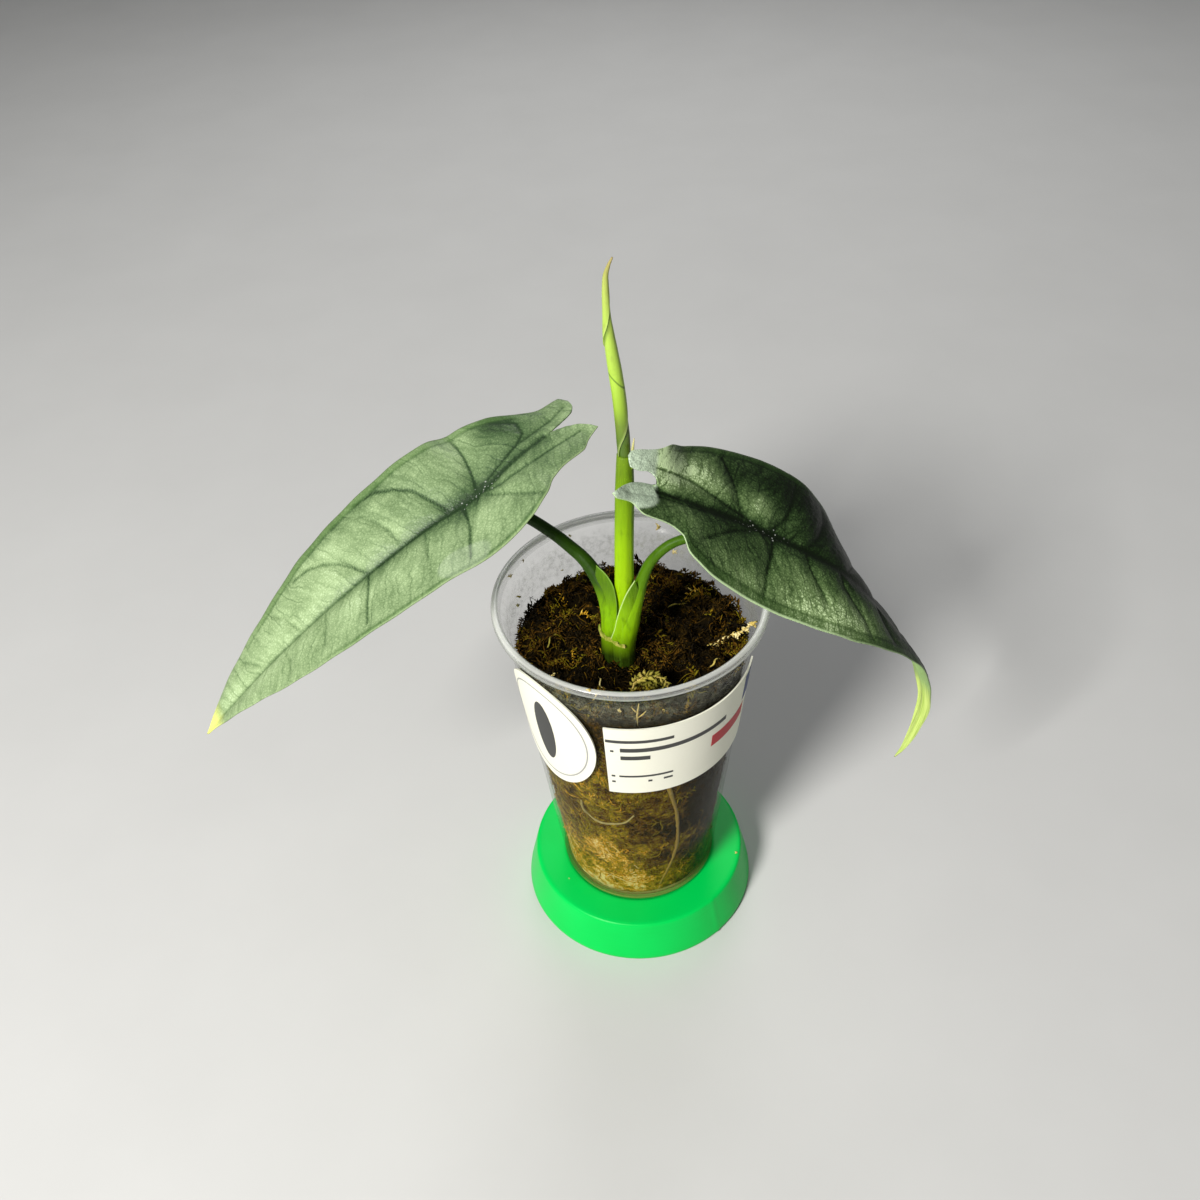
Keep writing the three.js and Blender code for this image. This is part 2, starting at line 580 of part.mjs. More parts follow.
function leafSolid(leaf, swell = 0) {
  const skin = new Skin();
  const outline = {};
  const halves = [[1, leaf.farLobe, leaf.farMargin], [-1, leaf.nearLobe, leaf.nearMargin]];
  for (const [side, lobe, margin] of halves) {
    const outerAt = smoothThrough(margin);
    const innerAt = smoothThrough(lobe);
    const tipP = leaf.tipLength;
    const [sinusP, sinusQ] = leaf.sinus;
    const lobeP = lobe[0][0];
    const stations = [];
    for (let i = 0; i <= BLADE_ROWS.body; i += 1) {
      const p = tipP + (sinusP - tipP) * (i / BLADE_ROWS.body);
      const toSinus = Math.max(0, 1 - (p - sinusP) / BLADE.sinusReach);
      stations.push({ p, inner: side * sinusQ * toSinus ** 2, outer: i === 0 ? 0 : outerAt(p) });
    }
    for (let i = 1; i <= BLADE_ROWS.lobe; i += 1) {
      const p = sinusP + (lobeP - sinusP) * Math.sin((i / BLADE_ROWS.lobe) * (Math.PI / 2));
      stations.push({ p, inner: innerAt(p), outer: i === BLADE_ROWS.lobe ? innerAt(p) : outerAt(p) });
    }
    outline[side] = stations.map(({ p, inner, outer }, row) => {
      const onAxis = row <= BLADE_ROWS.body;
      return Array.from({ length: BLADE_ROWS.columns + 1 }, (_, k) => {
        const q = inner + (outer - inner) * (k / BLADE_ROWS.columns);
        const onMidrib = k === 0 && onAxis;
        const quilt = quiltLift(p, Math.abs(q), onMidrib ? Infinity : outer);
        const rib = onMidrib ? BLADE.rib * Math.max(0, 1 - Math.abs(p) / tipP) : 0;
        const lifts = [quilt + BLADE.thickness / 2 + swell, quilt - BLADE.thickness / 2 - rib - swell];
        return lifts.map((lift) => {
          const point = bladePoint(leaf, p, q, side, lift);
          if (row > 0 && !onMidrib) return point;
          return point.add(bladePoint(leaf, p, -q, -side, lift)).multiplyScalar(0.5);
        });
      });
    });
  }
  for (const side of [1, -1]) {
    const rows = outline[side];
    const wind = (a, b, c, d) => (side > 0 ? skin.quad(a, b, c, d) : skin.quad(a, d, c, b));
    for (let i = 0; i + 1 < rows.length; i += 1) {
      for (let k = 0; k < BLADE_ROWS.columns; k += 1) {
        const [a, b, c, d] = [rows[i][k], rows[i][k + 1], rows[i + 1][k + 1], rows[i + 1][k]];
        if (side > 0) {
          skin.quad(a[0], b[0], c[0], d[0]);
          skin.face(a[1], c[1], b[1]);
          skin.face(a[1], d[1], c[1]);
        } else {
          skin.face(a[0], c[0], b[0]);
          skin.face(a[0], d[0], c[0]);
          skin.quad(a[1], b[1], c[1], d[1]);
        }
      }
      const edge = BLADE_ROWS.columns;
      wind(rows[i][edge][0], rows[i][edge][1], rows[i + 1][edge][1], rows[i + 1][edge][0]);
      if (i >= BLADE_ROWS.body) wind(rows[i][0][1], rows[i][0][0], rows[i + 1][0][0], rows[i + 1][0][1]);
    }
  }
  return skin.solid();
}

// A place on the cup's outer wall, by azimuth and height, lifted off the wall.
function onWall([azimuth, z], lift) {
  const r = cupInnerRadius(z) + CUP.wall + GAP + lift;
  return new THREE.Vector3(r * Math.sin(rad(azimuth)), -r * Math.cos(rad(azimuth)), z);
}

// A thin sheet on the wall from a grid of places, its rows running from one side to the other.
function wallSheet(grid, thickness) {
  const skin = new Skin();
  const rows = grid.map((row) => row.map((at) => [onWall(at, thickness), onWall(at, 0)]));
  const across = rows[0].length - 1;
  for (let i = 0; i + 1 < rows.length; i += 1) {
    for (let k = 0; k < across; k += 1) {
      const [a, b, c, d] = [rows[i][k], rows[i][k + 1], rows[i + 1][k + 1], rows[i + 1][k]];
      skin.quad(a[0], b[0], c[0], d[0]);
      skin.face(a[1], c[1], b[1]);
      skin.face(a[1], d[1], c[1]);
    }
    for (const [k, first, second] of [[0, i + 1, i], [across, i, i + 1]]) {
      skin.quad(rows[first][k][0], rows[first][k][1], rows[second][k][1], rows[second][k][0]);
    }
  }
  for (let k = 0; k < across; k += 1) {
    for (const [row, first, second] of [[rows[0], k, k + 1], [rows.at(-1), k + 1, k]]) {
      skin.quad(row[first][0], row[first][1], row[second][1], row[second][0]);
    }
  }
  return skin.solid();
}

function makeOvalLabel() {
  const { azimuth, z, halfWidth, halfHeight, thickness, columns, rows } = OVAL_LABEL;
  const halfTurn = THREE.MathUtils.radToDeg(halfWidth / (cupInnerRadius(z) + CUP.wall));
  const grid = Array.from({ length: rows + 1 }, (_, i) => {
    const rise = Math.sin((i / rows - 0.5) * Math.PI);
    const chord = Math.sqrt(Math.max(0, 1 - rise * rise));
    return Array.from({ length: columns + 1 }, (__, k) => (
      [azimuth + halfTurn * chord * ((2 * k) / columns - 1), z + halfHeight * rise]
    ));
  });
  return wallSheet(grid, thickness);
}

function makeCardLabel() {
  const { from, to, lowZ, highZ, thickness, columns, rows } = CARD_LABEL;
  const grid = Array.from({ length: rows + 1 }, (_, i) => Array.from({ length: columns + 1 }, (__, k) => (
    [from + ((to - from) * k) / columns, lowZ + ((highZ - lowZ) * i) / rows]
  )));
  return wallSheet(grid, thickness);
}

// The torn scar hugs the stalks: a band of their swollen shape, cut to a ragged height.
function makeCollar(swollen, stalks) {
  const { topZ, height, fall, from, to, tear, reach } = COLLAR;
  const steps = 12;
  const rings = Array.from({ length: steps + 1 }, (_, i) => {
    const share = i / steps;
    const turn = rad(from + (to - from) * share);
    const top = topZ - fall * share + tear * Math.sin(i * 2.1);
    const low = topZ - fall * share - height;
    const at = (r, h) => new THREE.Vector3(STEM.x + r * Math.sin(turn), STEM.y - r * Math.cos(turn), h);
    return [at(1, low), at(reach, low), at(reach, top), at(1, top)];
  });
  return cutBy([stalks], skinRings(rings).intersect(swollen));
}

const leftLeaf = prepareLeaf(LEFT_LEAF);
const rightLeaf = prepareLeaf(RIGHT_LEAF);
const stalkShape = { sections: 14, sides: 12 };
const petioleShape = { sections: 21, sides: 12 };
const furlShape = { sections: 24, sides: 12 };

const furledLeaf = furledSolid(FURLED_LEAF, furlShape);
const furledSocket = furledSolid(FURLED_LEAF, { ...furlShape, swell: GAP });

// The upright stalk ends in a cleft mouth with a thin pale point beside it.
function makeStalk() {
  const whole = stalkSolid(STALK, stalkShape).add(stalkSolid(STALK_TIP, { sections: 4, sides: 6 }));
  return cutBy([furledSocket], whole);
}

// A leaf stalk with its sheath, swollen to make room for it in its neighbours.
function petioleSolid(rows, sheath, swell = 0) {
  return stalkSolid(rows, { ...petioleShape, swell }).add(sheathSolid(sheath, swell));
}

const stalkRoom = stalkSolid(STALK, { ...stalkShape, swell: GAP });
const rightRoom = petioleSolid(RIGHT_PETIOLE, RIGHT_SHEATH, GAP);
const leftRoom = petioleSolid(LEFT_PETIOLE, LEFT_SHEATH, GAP);
const rightCuts = [stalkRoom, leafSolid(rightLeaf, GAP)];
const leftCuts = [stalkRoom, rightRoom, leafSolid(leftLeaf, GAP)];
const rightPetiole = cutBy(rightCuts, petioleSolid(RIGHT_PETIOLE, RIGHT_SHEATH));
const leftPetiole = cutBy(leftCuts, petioleSolid(LEFT_PETIOLE, LEFT_SHEATH));
const stalksRoom = unite([stalkRoom, rightRoom, leftRoom]);
const scarShell = unite([
  petioleSolid(RIGHT_PETIOLE, RIGHT_SHEATH, GAP + COLLAR.thickness),
  petioleSolid(LEFT_PETIOLE, LEFT_SHEATH, GAP + COLLAR.thickness),
]);

const FINISHES = {
  stand: { color: 0x18c04e, roughness: 0.42 },
  cup: { color: 0xe8edee, roughness: 0.08, transparent: true, opacity: 0.35 },
  moss: { color: 0x4a3c1c, roughness: 1 },
  stem: { color: 0x8a8a3c, roughness: 0.8 },
  root: { color: 0xc9b27a, roughness: 0.8 },
  petiole: { color: 0x7bb51a, roughness: 0.45 },
  leaf: { color: 0x86a878, roughness: 0.5 },
  furled_leaf: { color: 0x9dbb5e, roughness: 0.45 },
  collar: { color: 0xb9924e, roughness: 0.9 },
  label: { color: 0xf2f0ea, roughness: 0.6 },
};

function node(name, shape, finish) {
  const geometry = shape.isBufferGeometry ? shape : geometryFromSolid(shape);
  const material = new THREE.MeshStandardMaterial({ metalness: 0, ...FINISHES[finish] });
  const mesh = new THREE.Mesh(geometry, material);
  mesh.name = name;
  return mesh;
}

const plant = new THREE.Group();
plant.add(
  node('stand', makeStand(), 'stand'),
  node('cup', makeCup(), 'cup'),
  node('moss', makeMoss([RIGHT_ROOT, LEFT_ROOT]), 'moss'),
  node('stem_base', makeStem(), 'stem'),
  node('root_right', rootSolid(RIGHT_ROOT, 0), 'root'),
  node('root_left', rootSolid(LEFT_ROOT, 0), 'root'),
  node('stalk_center', makeStalk(), 'petiole'),
  node('furled_leaf', furledLeaf, 'furled_leaf'),
  node('petiole_left', leftPetiole, 'petiole'),
  node('petiole_right', rightPetiole, 'petiole'),
  node('dry_collar', makeCollar(scarShell, stalksRoom), 'collar'),
  node('leaf_left', leafSolid(leftLeaf), 'leaf'),
  node('leaf_right', leafSolid(rightLeaf), 'leaf'),
  node('label_oval', makeOvalLabel(), 'label'),
  node('label_card', makeCardLabel(), 'label'),
);

export default plant;
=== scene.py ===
"""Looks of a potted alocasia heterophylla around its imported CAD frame. Sizes are in millimetres
until a mesh is made; the origin is the centre of the stand's underside, +Z is up and the viewer
is at -Y. Azimuths turn from -Y towards +X."""
import math
import bmesh
import bpy
import numpy as np
from mathutils import Matrix, Vector, noise


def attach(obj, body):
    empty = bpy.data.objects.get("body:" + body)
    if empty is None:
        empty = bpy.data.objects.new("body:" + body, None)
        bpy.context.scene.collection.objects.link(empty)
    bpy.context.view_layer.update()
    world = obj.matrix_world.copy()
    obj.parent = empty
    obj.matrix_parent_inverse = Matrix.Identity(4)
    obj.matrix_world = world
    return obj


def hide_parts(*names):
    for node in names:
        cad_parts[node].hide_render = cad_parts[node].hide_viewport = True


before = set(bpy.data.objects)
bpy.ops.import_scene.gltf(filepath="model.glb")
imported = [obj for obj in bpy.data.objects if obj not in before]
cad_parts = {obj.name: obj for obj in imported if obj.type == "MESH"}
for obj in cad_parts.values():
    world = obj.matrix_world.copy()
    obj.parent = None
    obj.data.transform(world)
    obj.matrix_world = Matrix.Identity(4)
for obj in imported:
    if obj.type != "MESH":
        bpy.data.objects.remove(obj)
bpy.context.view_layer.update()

MM = 0.001
SEED = 20
rng = np.random.default_rng(SEED)

# Curves and tables


def smooth_table(rows):
    """Smooth curve through rows of x and y, held level beyond the ends."""
    xs, ys = np.array(rows, float).T
    steps = np.diff(xs)
    rises = np.diff(ys) / steps
    both = rises[:-1] * rises[1:]
    total = np.where(both > 0, rises[:-1] + rises[1:], 1)
    inner = np.where(both > 0, 2 * both / total, 0)
    slopes = np.concatenate([rises[:1], inner, rises[-1:]])

    def at(x):
        x = np.clip(x, xs[0], xs[-1])
        i = np.clip(np.searchsorted(xs, x) - 1, 0, len(steps) - 1)
        t = (x - xs[i]) / steps[i]
        ease = t * t * (3 - 2 * t)
        level = ys[i] * (1 - ease) + ys[i + 1] * ease
        bend = slopes[i] * t * (1 - t) ** 2 + slopes[i + 1] * t * t * (t - 1)
        return level + bend * steps[i]

    return at


def resample(rows, count, end=1.0):
    """Rows of numbers, read again at even shares of their row number, up to a share."""
    table = np.array(rows, float)
    at = np.linspace(0, (len(table) - 1) * end, count)
    tracks = [smooth_table(list(enumerate(column)))(at) for column in table.T]
    return np.array(tracks).T


def catmull_rom(points, count):
    """Places and slopes along a smooth curve through points."""
    knots = np.array(points, float)
    first = 2 * knots[0] - knots[1]
    last = 2 * knots[-1] - knots[-2]
    padded = np.vstack([first, knots, last])
    u = np.linspace(0, len(knots) - 1, count)
    i = np.minimum(u.astype(int), len(knots) - 2)
    w = (u - i)[:, None]
    start, end = padded[i + 1], padded[i + 2]
    leave = (end - padded[i]) / 2
    arrive = (padded[i + 3] - start) / 2
    square = 3 * (end - start) - 2 * leave - arrive
    cube = 2 * (start - end) + leave + arrive
    places = start + leave * w + square * w**2 + cube * w**3
    slopes = leave + 2 * square * w + 3 * cube * w**2
    return places, slopes


TINY = 1e-9


def unit(vectors):
    """Vectors scaled to a length of one."""
    return vectors / np.maximum(np.linalg.norm(vectors, axis=-1, keepdims=True), TINY)


def full_turn(count):
    """Angles at even steps of a full turn."""
    return np.arange(count) / count * 2 * math.pi


# Meshes and pieces


class Sheet:
    """Collects corners, faces, material numbers and per-corner values for one mesh."""

    def __init__(self):
        self.points = []
        self.faces = []
        self.marks = []
        self.values = {}
        self.count = 0

    def add(self, points, faces, mark=0, **values):
        """Adds corners, their faces, one material number and values for each corner."""
        points = np.asarray(points, float).reshape(-1, 3)
        self.points.append(points)
        for face in faces:
            self.faces.append([int(k) + self.count for k in face])
            self.marks.append(mark)
        for key, value in values.items():
            self.values.setdefault(key, []).append(np.asarray(value, float))
        self.count += len(points)

    def mesh(self, name, weld=0.0):
        """The mesh in metres, with corners nearer than weld joined."""
        mesh = bpy.data.meshes.new(name)
        points = np.concatenate(self.points) * MM
        mesh.from_pydata(points.tolist(), [], self.faces)
        for key, parts in self.values.items():
            data = np.concatenate([part.reshape(len(part), -1) for part in parts])
            kind, field = ("FLOAT", "value") if data.shape[1] == 1 else ("FLOAT_VECTOR", "vector")
            layer = mesh.attributes.new(key, kind, "POINT")
            layer.data.foreach_set(field, data.astype(np.float32).ravel())
        mesh.polygons.foreach_set("material_index", self.marks)
        if weld:
            bm = bmesh.new()
            bm.from_mesh(mesh)
            bmesh.ops.remove_doubles(bm, verts=bm.verts, dist=weld * MM)
            bmesh.ops.dissolve_degenerate(bm, edges=bm.edges, dist=weld * MM)
            bm.to_mesh(mesh)
            bm.free()
        mesh.shade_smooth()
        return mesh


def piece(name, sheet, paints, stands_for=(), weld=0.0, sharp=None):
    """One visible piece of the plant: its mesh, paints, slot and the CAD nodes it stands for."""
    mesh = sheet.mesh(name, weld)
    for paint in paints:
        mesh.materials.append(paint)
    if sharp is not None:
        mesh.set_sharp_from_angle(angle=math.radians(sharp))
    made = bpy.data.objects.new(name, mesh)
    bpy.context.scene.collection.objects.link(made)
    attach(made, "root")
    if stands_for:
        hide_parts(*stands_for)
    return made


def grid_faces(rows, columns, wrap=False, flip=False, start=0):
    """Quads of a grid of rows by columns of corners; wrap joins the last column to the first."""
    i, k = np.meshgrid(np.arange(rows - 1), np.arange(columns - (not wrap)), indexing="ij")
    after = (k + 1) % columns
    quads = np.stack([i * columns + k, i * columns + after,
                      (i + 1) * columns + after, (i + 1) * columns + k], -1).reshape(-1, 4)
    if flip:
        quads = quads[:, ::-1]
    return quads + start


def tube_faces(sections, sides, flip=False):
    """Faces of a closed tube: its wall and a cap at each end."""
    first = list(range(sides))
    last = [(sections - 1) * sides + k for k in first]
    caps = [first, last[::-1]] if flip else [first[::-1], last]
    return grid_faces(sections, sides, wrap=True, flip=flip).tolist() + caps


def tube_frames(paths, near_normal):
    """Side and normal directions along many paths, each normal as near near_normal as it can be."""
    along = unit(np.gradient(paths, axis=-2))
    normal = unit(near_normal - along * (near_normal * along).sum(-1, keepdims=True))
    return np.cross(normal, along), normal


def oval_rings(centres, first, second, wide, deep, turn, swell=1.0):
    """Corners of oval sections round centres, with half sizes along two directions."""
    return (centres[..., None, :] + first[..., None, :] * (wide * np.cos(turn) * swell)[..., None]
            + second[..., None, :] * (deep * np.sin(turn) * swell)[..., None])


def add_tubes(sheet, paths, wide, thick, sides, near_normal=(0.0, 1.0, 0.0), **values):
    """Many closed tubes of oval section: paths (n, m, 3), half sizes (n, m)."""
    paths = np.asarray(paths, float)
    count, steps = paths.shape[:2]
    side, normal = tube_frames(paths, np.broadcast_to(np.asarray(near_normal, float), paths.shape))
    ring = oval_rings(paths, side, normal, wide[..., None], thick[..., None], full_turn(sides))
    one = tube_faces(steps, sides)
    faces = [[k + n * steps * sides for k in face] for n in range(count) for face in one]
    spread = {key: np.repeat(np.asarray(value, float).reshape(count, -1), steps * sides, axis=0)
              for key, value in values.items()}
    sheet.add(ring, faces, **spread)


def add_stalk(sheet, rows, sections, sides, ridge=0.0, ridges=0, mark=0, end=1.0):
    """One stalk of oval sections: rows are x, y, z, half width in the bend, half width across."""
    fine = resample(rows, sections, end)
    centres = fine[:, :3]
    bend, across = tube_frames(centres, np.broadcast_to([0.0, 1.0, 0.0], centres.shape))
    wide, deep = fine[:, 3], fine[:, -1]
    turn = full_turn(sides)
    swell = 1 + ridge * np.cos(ridges * turn)
    ring = oval_rings(centres, bend, across, wide[:, None], deep[:, None], turn, swell)
    sheet.add(ring, tube_faces(sections, sides, flip=True), mark)


def add_lathe(sheet, profile, segments):
    """A turned form: the profile is radius and height rows, from axis to axis."""
    profile = np.array(profile, float)
    turn = full_turn(segments)
    ring = np.stack([profile[:, :1] * np.cos(turn), profile[:, :1] * np.sin(turn),
                     np.broadcast_to(profile[:, 1:2], (len(profile), segments))], -1)
    sheet.add(ring, grid_faces(len(profile), segments, wrap=True, flip=True).tolist())


def split_profile(profile, pitch, fewest):
    """A profile with more rows along its straight runs, about a pitch apart."""
    rows = np.array(profile)
    steps = []
    for a, b in zip(rows, rows[1:]):
        count = max(fewest, int(np.linalg.norm(b - a) / pitch))
        steps.extend(a + (b - a) * t for t in np.arange(count) / count)
    return steps + [rows[-1]]


# Paints


class Paint:
    """A material's nodes, with short calls for what the paints share."""

    def __init__(self, name, roughness=0.5, specular=0.5):
        self.material = bpy.data.materials.new(name)
        self.material.use_nodes = True
        self.tree = self.material.node_tree
        self.shader = self.tree.nodes["Principled BSDF"]
        self.shader.inputs["Roughness"].default_value = roughness
        self.shader.inputs["Specular IOR Level"].default_value = specular

    def node(self, kind, inputs=(), **settings):
        """A new node with its settings, and its inputs linked or set."""
        made = self.tree.nodes.new(kind)
        for key, value in settings.items():
            setattr(made, key, value)
        for key, value in dict(inputs).items():
            self.put(made.inputs[key], value)
        return made

    def put(self, socket, value):
        """Links a socket to another node's output, or sets its value."""
        if isinstance(value, bpy.types.NodeSocket):
            self.tree.links.new(value, socket)
        elif isinstance(value, tuple) and socket.type == "RGBA" and len(value) == 3:
            socket.default_value = (*value, 1)
        else:
            socket.default_value = value

    def place(self, scale=(1000, 1000, 1000)):
        """Place in the frame, in millimetres at the usual scale."""
        coords = self.node("ShaderNodeTexCoord").outputs["Object"]
        return self.node("ShaderNodeMapping", {"Vector": coords, "Scale": scale}).outputs[0]

    def axis(self, vector, name):
        return self.node("ShaderNodeSeparateXYZ", {0: vector}).outputs[name]

    def attribute(self, name, output="Fac"):
        return self.node("ShaderNodeAttribute", attribute_name=name).outputs[output]

    def noise(self, vector, scale, detail=3.0, roughness=0.55, distortion=0.0):
        return self.node("ShaderNodeTexNoise", {
            "Vector": vector, "Scale": scale, "Detail": detail, "Roughness": roughness,
            "Distortion": distortion}).outputs["Fac"]

    def cells(self, vector, scale, feature="DISTANCE_TO_EDGE"):
        return self.node("ShaderNodeTexVoronoi", {"Vector": vector, "Scale": scale},
                         feature=feature).outputs["Distance"]

    def stretch(self, vector, scale):
        return self.node("ShaderNodeMapping", {"Vector": vector, "Scale": scale}).outputs[0]

    def streaks(self, vector, scale, detail, roughness=0.55):
        """Noise drawn out by its own scale for each axis."""
        return self.noise(self.stretch(vector, scale), 1.0, detail, roughness)

    def math(self, operation, first, second=0.0, clamp=False):
        made = self.node("ShaderNodeMath", {0: first, 1: second}, operation=operation)
        made.use_clamp = clamp
        return made.outputs[0]

    def times(self, first, second, clamp=False):
        return self.math("MULTIPLY", first, second, clamp)

    def plus(self, first, second, clamp=False):
        return self.math("ADD", first, second, clamp)

    def minus(self, first, second, clamp=False):
        return self.math("SUBTRACT", first, second, clamp)

    def larger(self, first, second):
        return self.math("MAXIMUM", first, second)

    def absolute(self, value):
        return self.math("ABSOLUTE", value)

    def span(self, value, low, high, to_low=0.0, to_high=1.0, smooth=True):
        """A value's way from low to high, turned into the way from to_low to to_high."""
        kind = "SMOOTHSTEP" if smooth else "LINEAR"
        return self.node("ShaderNodeMapRange", {
            "Value": value, "From Min": low, "From Max": high, "To Min": to_low, "To Max": to_high,
        }, interpolation_type=kind).outputs[0]

    def mix(self, share, first, second):
        made = self.node("ShaderNodeMix", data_type="RGBA", blend_type="MIX")
        self.put(made.inputs[0], share)
        self.put(made.inputs[6], first)
        self.put(made.inputs[7], second)
        return made.outputs[2]

    def ramp(self, share, stops):
        made = self.node("ShaderNodeValToRGB", {"Fac": share})
        elements = made.color_ramp.elements
        while len(elements) < len(stops):
            elements.new(0.5)
        for element, (at, colour) in zip(elements, stops):
            element.position = at
            element.color = (*colour, 1)
        return made.outputs["Color"]

    def bump(self, height, distance, strength=1.0, under=None):
        inputs = {"Height": height, "Distance": distance * MM, "Strength": strength}
        if under is not None:
            inputs["Normal"] = under
        return self.node("ShaderNodeBump", inputs).outputs[0]

    def finish(self, colour, normal=None, roughness=None):
        self.put(self.shader.inputs["Base Color"], colour)
        if normal is not None:
            self.put(self.shader.inputs["Normal"], normal)
        if roughness is not None:
            self.put(self.shader.inputs["Roughness"], roughness)
        return self.material


# Sizes shared with the CAD

GAP = 0.3  # Free space that the CAD leaves inside and outside the cup's wall
STEM_XY = (-4.4, -11.4)
FLOOR_Z, RIM_Z, RIM_RADIUS = 17.3, 152.0, 47.5
HEEL_RADIUS, SHOULDER_RADIUS, SHOULDER_Z = 29.8, 43.3, 144.5
COLLAR_RADIUS, WALL, LIP_WIDTH, LIP_HEIGHT, PUSH_UP = 45.1, 1.0, 2.6, 3.2, 1.8
MOSS_Z = 134.0


def inner_radius(z):
    """The cup's inner radius at a height."""
    share = (z - FLOOR_Z) / (SHOULDER_Z - FLOOR_Z)
    return HEEL_RADIUS + (SHOULDER_RADIUS - HEEL_RADIUS) * share - WALL


def moss_height(x, y):
    """The height of the moss's top in the CAD, as waves and a fall towards the back."""
    waves = (np.sin(x * 0.21 + 1.3) * np.cos(y * 0.17 - 0.6)
             + 0.6 * np.sin(x * 0.47 - y * 0.36 + 2.1)
             + 0.5 * np.cos(x * 0.33 + y * 0.58)
             + 0.35 * np.sin(x * 0.95 + 0.4) * np.sin(y * 0.88 + 1.9))
    return MOSS_Z + 1.3 * waves - 3.0 * np.clip((y - 4) / 26, 0, 1)


def on_wall(azimuth, z, lift, radius=None):
    """Places at an azimuth and height, lifted off the cup's outer wall or a given radius."""
    r = (inner_radius(z) + WALL if radius is None else radius) + lift
    turn = np.radians(azimuth)
    return np.stack([r * np.sin(turn), -r * np.cos(turn), z + 0 * turn], -1)


# Leaves

